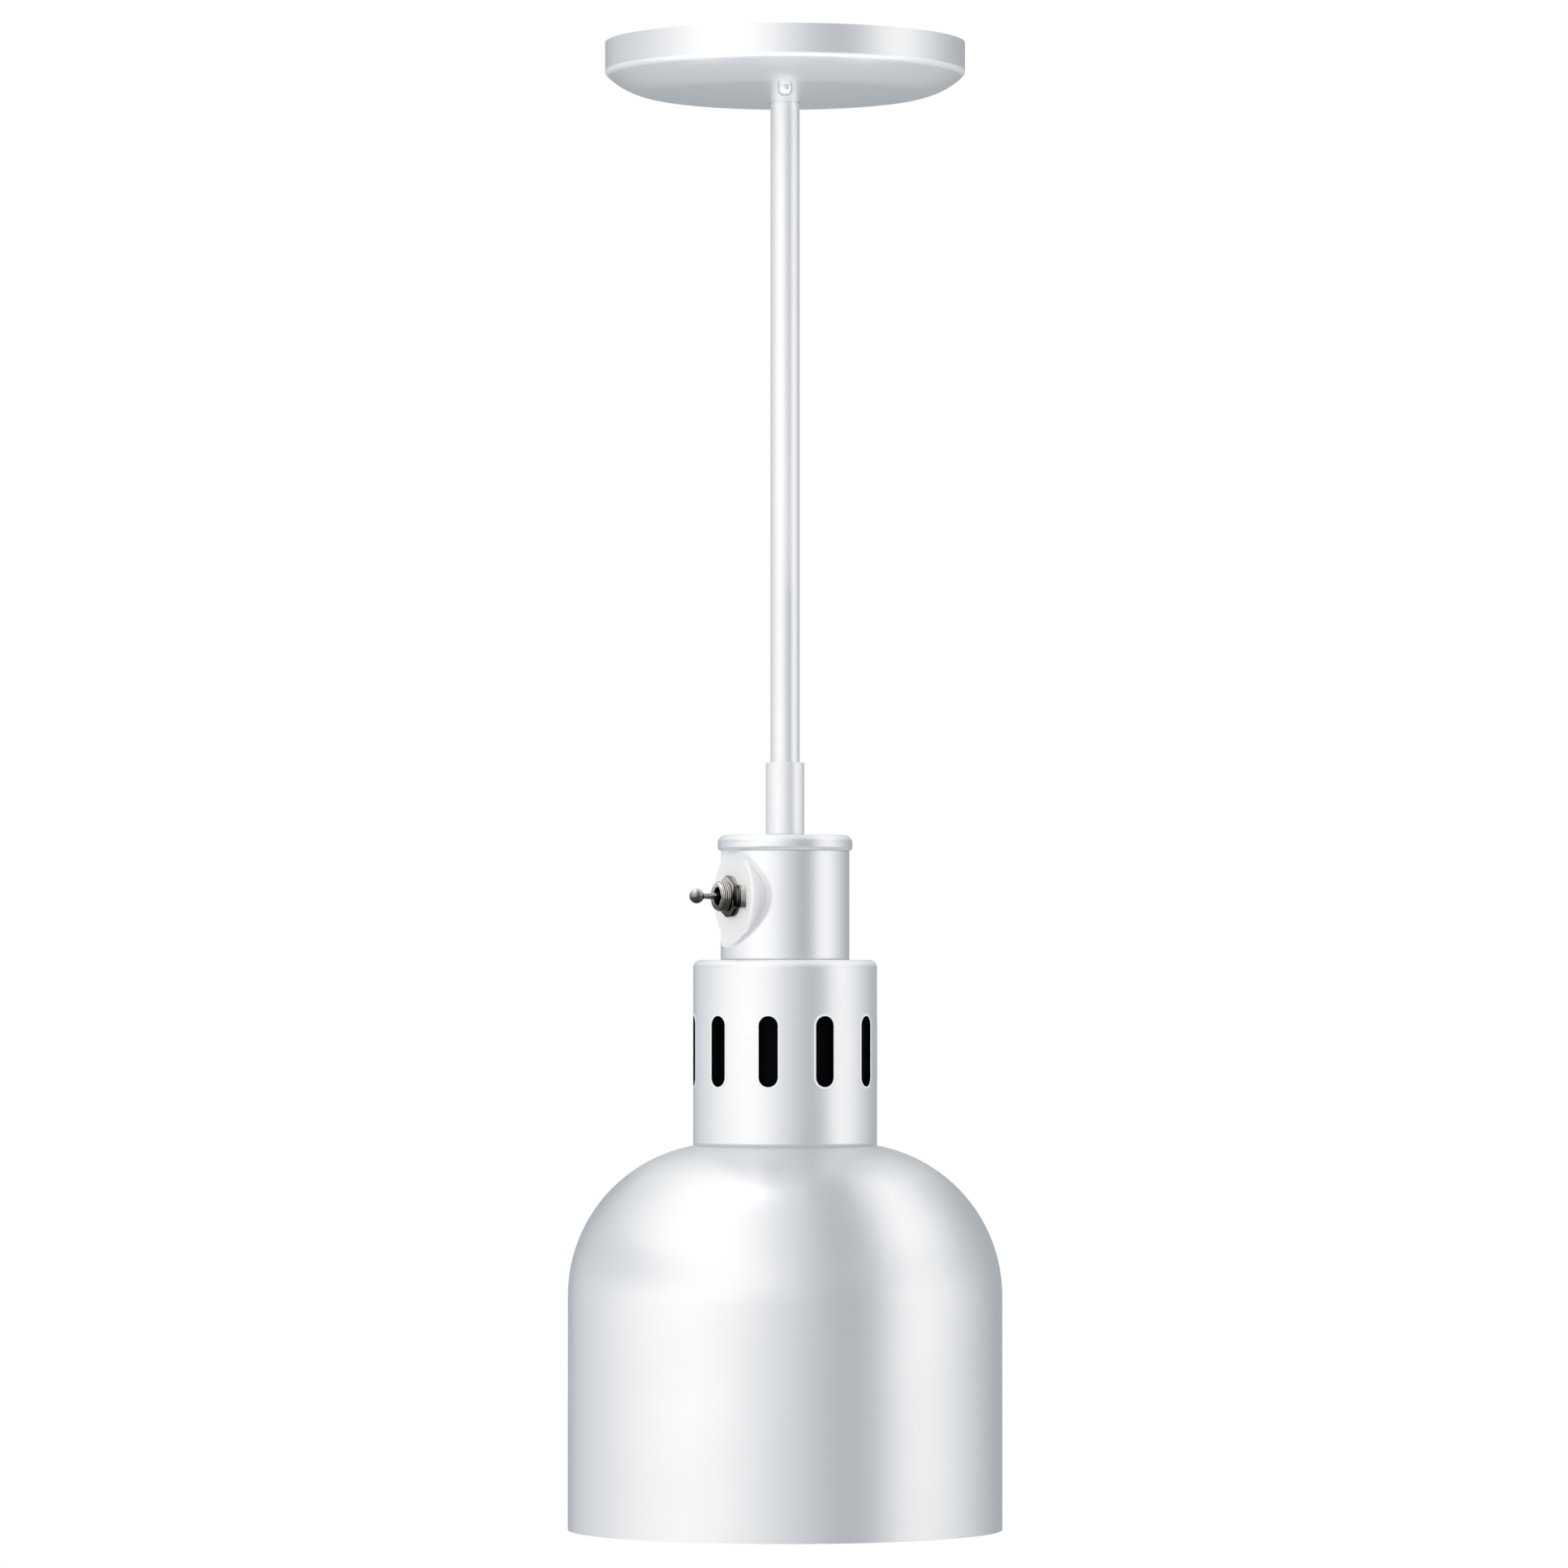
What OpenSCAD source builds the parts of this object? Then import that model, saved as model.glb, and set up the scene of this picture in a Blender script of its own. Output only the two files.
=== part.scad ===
// Pendant food heat lamp: a rigid stem hangs a bell shade from a ceiling canopy.
// Origin: the centre of the mounting plate's top face, in the ceiling plane. +Z is up, so the
// lamp hangs towards -Z. The front (-Y) is the side that the photograph is taken from.

/* [Ceiling plate] */
// Diameter of the round plate that screws to the junction box
plate_d = 104; // [98:1:116]
// Thickness of the plate
plate_t = 2.5; // [2:0.5:4]
// Distance between the two junction-box screws, at the middle of their slots
box_screw_span = 79.4; // [78:0.1:81]
// Length of each junction-box slot, end to end
box_slot_len = 14; // [10:0.5:16]
// Width of each junction-box slot
box_slot_w = 4.8; // [4.4:0.1:6]
// Distance between the two studs that carry the canopy
stud_span = 88.9; // [84:0.1:92]
// Diameter of the canopy studs
stud_d = 4.1; // [3.5:0.1:5]

/* [Canopy] */
// Outside diameter of the canopy
canopy_d = 142.5; // [135:0.5:160]
// Height of the straight side band
canopy_band_h = 12.2; // [9:0.1:16]
// Depth of the domed underside below the band
canopy_dome_h = 11.5; // [9:0.5:14]
// Radius of the shallow middle of the dome
canopy_dome_r = 500; // [300:10:600]
// Radius of the turn between the dome and the band
canopy_turn_r = 30; // [22:1:34]
// Radius of the crease between the turn and the band
canopy_crease_r = 2; // [1.5:0.1:3]
// Sheet thickness of the canopy
canopy_wall = 1; // [0.8:0.1:1.4]
// Diameter of the ball of each cap nut
cap_nut_d = 5.8; // [5.4:0.2:8]

/* [Stem] */
// Distance from the ceiling to the top of the coupling
stem_drop = 284.8; // [200:0.1:600]
// Outside diameter of the stem
stem_d = 11.5; // [11:0.1:13]
// Wall of the stem
stem_wall = 1.75; // [1.3:0.05:1.9]
// Outside diameter of the stem and nipple threads
thread_d = 10.2; // [9.8:0.1:10.6]
// Thread pitch of the stem and the nipple
thread_pitch = 1.3; // [1:0.1:1.6]
// Outside diameter of the coupling
coupling_d = 15.2; // [14.4:0.1:18]
// Length of the coupling
coupling_len = 28.8; // [24:0.1:36]

/* [Switch housing] */
// Outside diameter of the switch housing
housing_d = 50.8; // [50:0.2:54]
// Length of the housing tube below the cap
housing_len = 42.9; // [40:0.1:60]
// Wall of the housing tube
housing_wall = 1.3; // [1:0.1:1.6]
// Diameter of the rolled rim of the cap
cap_rim_d = 53.2; // [52.4:0.1:58]
// Height of the rolled rim
cap_rim_h = 6.3; // [5:0.1:8]
// Radius of the rim's top edge
cap_top_edge_r = 3; // [1:0.1:3.4]
// Radius of the rim's bottom edge
cap_low_edge_r = 1.7; // [0.8:0.1:2]
// Diameter of the flat switch pad
pad_d = 36.8; // [34:0.2:37.6]
// Radius of the pad's soft edge
pad_edge_r = 1.2; // [0.4:0.1:2.4]
// How much the pad's raised side widens on its way back to the tube, on the radius
pad_flare = 0.6; // [0:0.1:1]
// How much the dish pressed round the pad widens on its way out to the tube, on the radius
pad_dish = 1.5; // [0:0.1:2]
// Distance from the lamp's axis to the face of the pad
pad_reach = 22.8; // [22.4:0.1:24]
// Distance from the top of the housing tube down to the switch's axis
switch_drop = 17.9; // [17.6:0.1:18.4]
// Direction that the switch faces, in degrees round +Z from +X
switch_turn = 205; // [180:1:225]

/* [Toggle switch] */
// Outside diameter of the threaded bushing
bushing_d = 11.8; // [11:0.1:13]
// How far the bushing stands out of the pad
bushing_reach = 7.1; // [6.5:0.1:10]
// Bore of the bushing
bushing_bore_d = 7; // [6.8:0.1:7.6]
// Width across the flats of the face nut
face_nut_af = 14.3; // [13.5:0.1:17]
// Diameter of the ball on the end of the lever
lever_ball_d = 5.8; // [5:0.1:7]
// Distance from the lever's pivot to the middle of its ball
lever_len = 15; // [14:0.1:22]
// Tilt of the lever to each side
lever_throw = 11; // [8:0.5:12]

/* [Vent sleeve] */
// Outside diameter of the vent sleeve
sleeve_d = 72.6; // [71:0.2:80]
// Length of the vent sleeve
sleeve_len = 73.3; // [72:0.1:90]
// Wall of the vent sleeve
sleeve_wall = 1.2; // [1:0.1:1.6]
// Radius of the sleeve's top edge
sleeve_edge_r = 3; // [2:0.25:4]
// Number of vent slots
slot_count = 10; // [8:1:12]
// Width of a vent slot
slot_w = 7.7; // [5:0.1:9]
// Length of a vent slot, end to end
slot_len = 27.8; // [20:0.2:32]
// Distance from the top of the sleeve to the middle of the slots
slot_drop = 35.9; // [32:0.1:38]
// Direction of the first slot, in degrees round +Z from +X
slot_turn = 7.5; // [0:0.5:35]

/* [Shade] */
// Outside diameter of the shade
shade_d = 171.4; // [168:0.2:200]
// Height of the shade, from the sleeve to the rim
shade_h = 151.1; // [135:0.1:190]
// Radius of the shade's shoulder
shoulder_r = 60; // [56:0.5:64]
// Sheet thickness of the shade
shade_wall = 1; // [0.8:0.1:1.5]

/* [Lamp] */
// Largest diameter of the reflector lamp
lamp_d = 127; // [100:1:130]
// Length of the lamp, from the tip of its base to its face
lamp_len = 165; // [155:1:175]
// Diameter of the lamp's screw base
lamp_base_d = 26.2; // [26:0.05:26.4]

/* [Hidden] */
$fn = 64;

// Clearances, by what they are for.
slide_fit = 0.35;     // a piece that slides on another
thread_fit = 0.05;    // a nut or tapped hole round its thread, on the radius
press_gap = 0.05;     // a ring seated in a tube, on the radius
screw_gap = 0.15;     // a clearance hole round a screw, on the radius
run_gap = 0.3;        // a moving piece and what it moves past
pin_fit = 0.05;       // a pivot pin in its bore, on the radius
seat_gap = 0.02;      // between a piece and the curved shoulder that it sits on
cut = 1;              // how far a cutter runs past a face

// Threads, nuts and washers of the stem.
thread_r = thread_d / 2;
thread_depth = 0.4;
thread_lead = 0.2;    // plain stretch at each end of a thread
lead_bore_r = stem_d / 2 - stem_wall;
nipple_wall = 1.3;
nipple_bore_r = thread_r - nipple_wall;
stem_nut_af = 17.5;
stem_nut_h = 4;
nut_chamfer_h = 0.9;
washer_t = 1;
washer_r = 9.5;
washer_teeth = 12;
thread_end = 2.4;     // thread that shows past the top nut

// Heights, from the ceiling down.
plate_bottom = -plate_t;
jam_nut_bottom = plate_bottom - stem_nut_h;
stem_top = washer_t + stem_nut_h + thread_end;
band_bottom = -canopy_band_h;
canopy_apex = band_bottom - canopy_dome_h;
coupling_top = -stem_drop;
cap_top = coupling_top - coupling_len;
housing_top = cap_top - cap_rim_h;
housing_bottom = housing_top - housing_len;
sleeve_top = housing_bottom;
sleeve_bottom = sleeve_top - sleeve_len;
rim_z = sleeve_bottom - shade_h;

// Height of the canopy's underside at a distance from the axis. A circle of canopy_turn_r
// touches the shallow one of canopy_dome_r and ends on the foot of the band.
dome_mid_z = canopy_apex + canopy_dome_r;
turn_reach = canopy_dome_r - canopy_turn_r;
edge_dist = norm([canopy_d / 2, band_bottom - dome_mid_z]);
edge_angle = atan2(canopy_d / 2, dome_mid_z - band_bottom);
turn_angle = edge_angle - acos((pow(turn_reach, 2) + pow(edge_dist, 2) - pow(canopy_turn_r, 2))
    / (2 * turn_reach * edge_dist));
turn_x = turn_reach * sin(turn_angle);
turn_z = dome_mid_z - turn_reach * cos(turn_angle);
crease_x = canopy_d / 2 - canopy_crease_r;
crease_mid = [crease_x, turn_z - sqrt(pow(canopy_turn_r - canopy_crease_r, 2) - pow(crease_x - turn_x, 2))];

function canopy_surface(r) =
    r < canopy_dome_r * sin(turn_angle) ? dome_mid_z - sqrt(pow(canopy_dome_r, 2) - r * r)
    : turn_z - sqrt(pow(canopy_turn_r, 2) - pow(r - turn_x, 2));

// Canopy studs and the plate's earth screw.
stud_pitch = 0.8;
stud_thread_depth = 0.3;
stud_above = 2;       // stud above the plate
stud_end = canopy_surface(stud_span / 2) - 1.9;
cap_nut_collar = 0.3; // straight part of a cap nut, as a share of its radius
ground_at = [-20, 22];
ground_screw_r = 2;
ground_head_r = 4;
ground_head_h = 2.4;

// Coupling and nipple.
coupling_seat = 3;    // how deep the stem's shoulder sits in the coupling
stem_thread_len = 11.4;
nipple_reach = 12.5;  // nipple above and below the cap
nipple_top = cap_top + nipple_reach;
nipple_bottom = cap_top - nipple_reach;

// Cap.
cap_wall = 1.5;
cap_skirt_h = 4;

// Housing and its base ring.
housing_r = housing_d / 2;
housing_in_r = housing_r - housing_wall;
base_ring_h = 4;
base_ring_w = 6.5;
base_ring_r = housing_in_r - press_gap;
head_r = 2.8;         // pan heads
head_h = 2.2;
screw_spare = 0.4;    // left between a screw's tip and the far face
joint_screw_d = 3;
joint_screw_ring = base_ring_r - head_r - press_gap;
joint_screw_turns = [83, 203, 323];
ground_turn = 23;

// Toggle switch, along its own axis from the lamp's axis outwards.
pad_z = housing_top - switch_drop;
pad_in = pad_reach - housing_wall;
lock_ring_t = 1;
flange_t = 0.8;
frame_t = 0.8;
body_top = pad_in - lock_ring_t - flange_t - frame_t;
body_h = 14.4;
body_bottom = body_top - body_h;
body_len = 26;
body_w = 15.4;
body_wall = 2;
body_floor = 3.8;
flange_r = 7.2;
lock_ring_r = 8.4;
tab_washer_t = 1;
tab_washer_r = face_nut_af / 2 + 0.9;
tab_w = 8.8;
tab_reach = 12.7;
face_nut_h = 2.2;
pivot_out = pad_reach + tab_washer_t + face_nut_h / 2;
pivot_ball_r = bushing_bore_d / 2 - run_gap;
pivot_pin_r = 0.6;
lever_tip_r = 1.3;
lever_arm = 9.2;
lever_neck_r = 0.85;
lever_root_r = 1.5;
rocker_ratio = 0.7;
rocker_top = pivot_out - lever_arm - lever_tip_r - run_gap;
rocker_t = 1.2;
rocker_len = 18;
rocker_w = 5;
rocker_axis = rocker_top - rocker_t;
terminal_t = 1;
terminal_w = 4.6;
terminal_out = 6;     // terminal that stands out behind the switch body
load_offset = rocker_len / 2 - 1.4; // from the middle of the rocker to its contact
rocker_tilt = rocker_ratio * lever_throw;
rocker_pad_h = 0.5;
bushing_pitch = 0.8;
bushing_thread_depth = 0.35;
bushing_lip = 0.7;    // plain end of the bushing
contact_gap = 0.15;   // left between the closed contacts
contact_pad_t = 0.8;
contact_face = rocker_axis - rocker_pad_h - contact_gap - load_offset * sin(rocker_tilt);
contact_pad_r = 1.6;
cavity_len = body_len - 2 * body_wall;
cavity_w = body_w - 2 * body_wall;

// Sleeve, heat shield, bracket and socket.
sleeve_r = sleeve_d / 2;
sleeve_in_r = sleeve_r - sleeve_wall;
sleeve_plate_bottom = sleeve_top - sleeve_wall;
shield_air = 4.1;     // between the sleeve and the heat shield
shield_r = sleeve_in_r - shield_air;
shield_wall = 0.8;
shield_corner_r = 2;
carrier_h = 4.8;      // ring that carries the shade
shield_bottom = sleeve_bottom + carrier_h + 2.2;
bracket_top = sleeve_plate_bottom - shield_wall;
bracket_t = 1.5;
bracket_r = joint_screw_ring + head_r;
bracket_bottom = bracket_top - bracket_t;
wire_hole_r = 10;
socket_r = 20.5;
socket_h = 48;
socket_top = bracket_bottom;
socket_bottom = socket_top - socket_h;
socket_bore_h = 26.5;
socket_floor = socket_bottom + socket_bore_h;
shell_wall = 0.5;
shell_play = 0.4;     // between the lamp's base and the socket's shell
shell_wave = 0.3;     // depth of the shell's thread
shell_in_r = lamp_base_d / 2 + shell_play;
shell_out_r = shell_in_r + shell_wall + shell_wave;
socket_bore_r = shell_out_r + screw_gap;
socket_edge = 1.5;
rivet_r = 1.5;
tongue_r = 5;
well_r = 12;
well_h = 9;
well_floor = socket_top - well_h;
strip_t = 0.8;
strip_w = 5;
terminal_at = 7.5;
contact_drop = 1.1;
socket_screw_d = 3;
socket_screw_ring = (socket_r + socket_bore_r) / 2;
socket_screw_head_r = 2.4;
socket_screw_head_h = 2;
socket_screw_pocket = socket_screw_head_h + 0.5;
terminal_screw_r = 1.5;
socket_screw_turns = [53, 233];
strap_turn = 113;
strap_at = 10.4;
post_h = 4;
post_w = 4.4;
post_top = well_floor + strip_t + post_h;

// Shade and the ring that carries it.
shade_r = shade_d / 2;
shoulder_x = shade_r - shoulder_r;
shoulder_z = sleeve_bottom - sqrt(pow(shoulder_r, 2) - pow(sleeve_r - shoulder_x, 2));
carrier_w = 5;
carrier_r = sleeve_in_r - press_gap;
carrier_in_r = carrier_r - carrier_w;
carrier_top = sleeve_bottom + carrier_h;
shade_screw_head_r = 2.6;
shade_screw_ring = carrier_r - carrier_w / 2 - 0.2;
shade_head_top = shoulder_z - press_gap * 2 + sqrt(pow(shoulder_r - shade_wall, 2)
    - pow(shade_screw_ring + shade_screw_head_r - shoulder_x, 2));
shade_screw_turns = [23, 143, 263];

// Lamp.
lamp_tip = socket_floor - strip_t - contact_drop - run_gap;
lamp_base_r = lamp_base_d / 2;
base_contact_h = 1.2;
base_contact_r = 4.8;
base_insulator_h = 4.1;
base_shell_top = lamp_tip - base_contact_h - base_insulator_h;
base_shell_h = 20.7;
base_thread_depth = 0.8;
base_shell_wall = 1;
base_shell_bottom = base_shell_top - base_shell_h;
base_pitch = 3.63;
base_neck_r = 9.5;
tuck_r = lamp_base_r - base_shell_wall - 0.2; // the glass inside the base shell
tuck_top = base_shell_bottom + 7;
press_r = 4;          // glass press that holds the wires
lamp_face = lamp_tip - lamp_len;
neck_r = 19.5;
neck_top = base_shell_bottom - 9;
neck_bottom = neck_top - 16;
lamp_r = lamp_d / 2;
lamp_widest = lamp_face + lamp_d / 4;
glass_t = 1.2;
coating_t = 0.3;
coating_gap = 0.05;
filament_r = 9;
filament_gap = 30;    // half of the filament ring's opening, in degrees
filament_z = lamp_face + 62;
filament_wire_r = 0.5;
support_wire_r = 0.45;
press_bottom = neck_bottom - 6;

// Leads. Each route is a short list of points, and a smooth curve runs through them.
lead_r = 1.3;
lead_step = 6;
lead_ring = 1.75;     // distance of each lead from the stem's axis
lead_top = stem_top - press_gap;
tail_z = body_bottom - terminal_out * 0.45;
beside_terminal = terminal_t / 2 + lead_r + press_gap;
common_tail = from_switch(0, beside_terminal, tail_z);
load_tail = from_switch(0, load_offset + beside_terminal, tail_z);

steel = "#b9bcc0";
silver_paint = "#d9dde2";
nickel = "#a7a49c";
brass = "#c9a24a";
porcelain = "#ece9e0";
black = "#1b1c1d";

// ---- Shared shapes ----

// A zigzag of thread ridges between two heights, as points going down.
function ridges(r, depth, top, bottom, pitch) =
    let (turns = max(1, floor((top - bottom) / pitch)), step = (top - bottom) / turns)
    [for (i = [0 : turns - 1], k = [0 : 2])
        [k == 1 ? r : r - depth, top - step * (i + k * 0.5 * (k == 2 ? 0.96 : 1))]];

// Points on an arc round (x, z), from one angle to another.
function arc(x, z, r, from, to, steps) =
    [for (i = [0 : steps]) let (a = from + (to - from) * i / steps) [x + r * cos(a), z + r * sin(a)]];

// Points on a cubic curve.
function curve(a, b, c, d, steps) =
    [for (i = [0 : steps]) let (t = i / steps)
        a * pow(1 - t, 3) + b * 3 * t * pow(1 - t, 2) + c * 3 * t * t * (1 - t) + d * pow(t, 3)];

// A curve that passes through each of the points of a route, in steps of about the length given.
// Its pull at each point grows with the stretch, so it never runs back on itself.
function through(p, step) =
    let (n = len(p))
    concat([for (i = [0 : n - 2], count = max(4, round(norm(p[i + 1] - p[i]) / step)),
            k = [0 : count - 1])
        let (t = k / count, b = p[i], c = p[i + 1], reach = norm(c - b),
            leaving = unit(c - p[max(i - 1, 0)]) * reach, arriving = unit(p[min(i + 2, n - 1)] - b) * reach)
        b * (2 * pow(t, 3) - 3 * t * t + 1) + leaving * (pow(t, 3) - 2 * t * t + t)
            + c * (3 * t * t - 2 * pow(t, 3)) + arriving * (pow(t, 3) - t * t)], [p[n - 1]]);

function unit(v) = v / norm(v);

function reversed(p) = [for (i = [len(p) - 1 : -1 : 0]) p[i]];

// A point at a direction round +Z, a distance from it and a height.
function spun(turn, r, z) = [r * cos(turn), r * sin(turn), z];

function heading(p, i) = unit(p[min(i + 1, len(p) - 1)] - p[max(i - 1, 0)]);

// A normal at each point of a path, carried along it without twist.
function carried(p, i, last, done) =
    i == len(p) ? done
    : let (t = heading(p, i), n = unit(last - t * (last * t))) carried(p, i + 1, n, concat(done, [n]));

// A round cable along a path.
module cable(path, r, sides = 8) {
    normals = carried(path, 0, [1, 0.2, 0.1], []);
    rings = [for (i = [0 : len(path) - 1], k = [0 : sides - 1])
        let (n = normals[i], b = cross(heading(path, i), n), a = 360 * k / sides)
        path[i] + n * (r * cos(a)) + b * (r * sin(a))];
    walls = [for (i = [0 : len(path) - 2], k = [0 : sides - 1], half = [0, 1])
        let (j = (k + 1) % sides, a = i * sides, b = a + sides)
        half == 0 ? [a + k, b + k, b + j] : [a + k, b + j, a + j]];
    first = [for (k = [0 : sides - 1]) k];
    last = [for (k = [sides - 1 : -1 : 0]) (len(path) - 1) * sides + k];
    polyhedron(rings, concat(walls, [first], [last]));
}

// A round rod between two points.
module rod(a, b, r) {
    v = b - a;
    translate(a)
        rotate([0, acos(v[2] / norm(v)), atan2(v[1], v[0])])
            cylinder(h = norm(v), r = r);
}

// A flat ring or disc between two heights.
module ring(r, hole_r, top, bottom) {
    rotate_extrude()
        translate([hole_r, bottom])
            square([r - hole_r, top - bottom]);
}

// A hexagon nut with turned corners, standing on z = 0.
module hex_nut(af, h, hole_r) {
    flat = af / 2;
    corner = flat / cos(30);
    outside = corner + cut;
    difference() {
        cylinder(h = h, r = corner, $fn = 6);
        for (end = [[0, -1], [h, 1]])
            rotate_extrude()
                polygon([[flat, end[0] + end[1] * cut], [outside, end[0] + end[1] * cut],
                    [outside, end[0] - end[1] * nut_chamfer_h], [flat + 0.1, end[0]]]);
        translate([0, 0, -cut])
            cylinder(h = h + 2 * cut, r = hole_r);
    }
}

// A pan-head screw pointing up, with its head below z = 0 and a cross recess in it.
module pan_screw(r, len, head, height) {
    edge = 0.8;
    recess = [head * 1.2, 0.7, cut + height * 0.42];
    difference() {
        union() {
            cylinder(h = len, r = r);
            translate([0, 0, -height])
                rotate_extrude()
                    polygon(concat([[0, 0]], arc(head - edge, edge, edge, -90, 0, 5),
                        [[head, height], [0, height]]));
        }
        for (turn = [0, 90])
            rotate([0, 0, turn])
                translate([-recess[0] / 2, -recess[1] / 2, -height - cut])
                    cube(recess);
    }
}

// Copies its child at each direction, at one distance from the axis.
module around(turns, r) {
    for (turn = turns)
        rotate([0, 0, turn])
            translate([r, 0, 0])
                children();
}

// Puts its child in the switch's own frame: its +Z points out of the pad and its +Y to the
// right of someone who faces the switch.
module at_switch() {
    rotate([0, 0, switch_turn])
        translate([0, 0, pad_z])
            rotate([0, 90, 0])
                children();
}

// ---- Ceiling end ----

module mounting_plate() {
    color(steel) difference() {
        ring(plate_d / 2, thread_r + 2 * screw_gap, 0, plate_bottom);
        for (side = [-1, 1]) {
            translate([side * box_screw_span / 2, 0, plate_bottom - cut])
                linear_extrude(plate_t + 2 * cut) {
                    square([box_slot_len - box_slot_w, box_slot_w], center = true);
                    for (end = [-1, 1])
                        translate([end * (box_slot_len - box_slot_w) / 2, 0])
                            circle(box_slot_w / 2);
                }
            translate([0, side * stud_span / 2, plate_bottom - cut])
                cylinder(h = plate_t + 2 * cut, r = stud_d / 2 + thread_fit);
        }
        translate([ground_at[0], ground_at[1], plate_bottom - cut])
            cylinder(h = plate_t + 2 * cut, r = ground_screw_r + thread_fit);
    }
}

module plate_ground_screw() {
    color("#2f8f4e")
        translate([ground_at[0], ground_at[1], plate_bottom])
            pan_screw(ground_screw_r, plate_t + stud_above, ground_head_r, ground_head_h);
}

module canopy_studs() {
    r = stud_d / 2;
    color(steel)
        for (side = [-1, 1])
            translate([0, side * stud_span / 2, 0])
                rotate_extrude()
                    polygon(concat([[0, stud_above], [r - stud_thread_depth, stud_above]],
                        ridges(r, stud_thread_depth, stud_above - thread_lead, stud_end, stud_pitch),
                        [[0, stud_end]]));
}

module stem_top_nut() {
    color(steel) translate([0, 0, washer_t]) hex_nut(stem_nut_af, stem_nut_h, thread_r + thread_fit);
}

// A toothed lock washer standing on z = 0.
module lock_washer(hole_r, r, t) {
    notch = r * 0.11;
    difference() {
        cylinder(h = t, r = r);
        translate([0, 0, -cut])
            cylinder(h = t + 2 * cut, r = hole_r);
        around([for (i = [0 : washer_teeth - 1]) i * 360 / washer_teeth], r)
            translate([0, 0, -cut])
                cylinder(h = t + 2 * cut, r = notch);
    }
}

module stem_top_washer() {
    color(steel) lock_washer(thread_r + screw_gap, washer_r, washer_t);
}

module stem_jam_nut() {
    color(steel)
        translate([0, 0, jam_nut_bottom])
            hex_nut(stem_nut_af, stem_nut_h, thread_r + thread_fit);
}

// The filled half section of the canopy, drawn in by inset. A small arc rounds the crease: it
// touches the band and the turn, and the corner outside it is taken off.
module canopy_section(inset) {
    r = canopy_d / 2 - inset;
    tangent = [canopy_dome_r * sin(turn_angle), dome_mid_z - canopy_dome_r * cos(turn_angle)];
    crease_end = [turn_x, turn_z] + unit(crease_mid - [turn_x, turn_z]) * (canopy_turn_r - inset);
    difference() {
        canopy_fill(inset, r, tangent);
        difference() {
            polygon([crease_mid, [r + cut, crease_mid[1]], [r + cut, crease_end[1] - cut],
                crease_end + unit(crease_end - crease_mid) * cut]);
            translate(crease_mid)
                circle(canopy_crease_r - inset);
        }
    }
}

// The same section with a sharp crease.
module canopy_fill(inset, r, tangent) {
    intersection() {
        union() {
            translate([0, band_bottom])
                square([r, canopy_band_h + cut]);
            translate([turn_x, turn_z])
                circle(canopy_turn_r - inset);
            intersection() {
                translate([0, dome_mid_z])
                    circle(canopy_dome_r - inset);
                translate([0, canopy_apex - cut])
                    square([tangent[0], cut - canopy_apex]);
            }
        }
        translate([0, canopy_apex])
            square([r, -canopy_apex + cut]);
    }
}

module canopy() {
    color(silver_paint) difference() {
        rotate_extrude($fn = 128)
            intersection() {
                difference() {
                    canopy_section(0);
                    canopy_section(canopy_wall);
                }
                translate([stem_d / 2 + slide_fit, canopy_apex - cut])
                    square([canopy_d, -canopy_apex + cut]);
            }
        for (side = [-1, 1])
            translate([0, side * stud_span / 2, canopy_apex - cut])
                cylinder(h = canopy_dome_h, r = stud_d / 2 + slide_fit);
    }
}

// What a cap nut is cut by: the dome's underside from one radius to another.
module under_dome(from, to) {
    step = (to - from) / 4;
    rotate_extrude($fn = 128)
        polygon(concat(
            [for (x = [from - step : step : to + step]) [x, canopy_surface(x) - press_gap]],
            [[to + step, 0], [from - step, 0]]));
}

// Acorn nuts on the canopy studs, seated all round against the dome.
module canopy_cap_nuts() {
    r = cap_nut_d / 2;
    collar = cap_nut_collar * r;
    near = stud_span / 2 - r;
    seat = canopy_surface(near) - press_gap;
    rise = canopy_surface(near + 2 * r) - canopy_surface(near);
    color(silver_paint)
        for (side = [-1, 1])
            translate([0, side * stud_span / 2, seat])
                difference() {
                    union() {
                        translate([0, 0, -collar])
                            cylinder(h = collar + rise, r = r);
                        translate([0, 0, -collar])
                            sphere(r);
                    }
                    translate([0, -side * stud_span / 2, -seat])
                        under_dome(near, near + 2 * r);
                    translate([0, 0, stud_end - seat - run_gap])
                        cylinder(h = r * 2, r = stud_d / 2 + thread_fit * 2);
                }
}

// ---- Stem ----

module stem_tube() {
    r = stem_d / 2;
    root = thread_r - thread_depth;
    shoulder = coupling_top - coupling_seat + press_gap;
    end = shoulder - stem_thread_len;
    color(silver_paint)
        rotate_extrude()
            polygon(concat(
                [[lead_bore_r, stem_top], [root, stem_top]],
                ridges(thread_r, thread_depth, stem_top - thread_lead, jam_nut_bottom + thread_lead,
                    thread_pitch),
                [[root, jam_nut_bottom], [r, jam_nut_bottom], [r, shoulder]],
                ridges(thread_r, thread_depth, shoulder, end + thread_lead, thread_pitch),
                [[root, end], [lead_bore_r, end]]));
}

module stem_coupling() {
    r = coupling_d / 2;
    edge = 0.5;
    bore = thread_r + thread_fit;
    mouth = stem_d / 2 + 2 * press_gap;
    seat = coupling_top - coupling_seat;
    color(silver_paint)
        rotate_extrude()
            polygon([[bore, cap_top], [r, cap_top], [r, coupling_top - edge], [r - edge, coupling_top],
                [mouth, coupling_top], [mouth, seat], [bore, seat]]);
}

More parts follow.
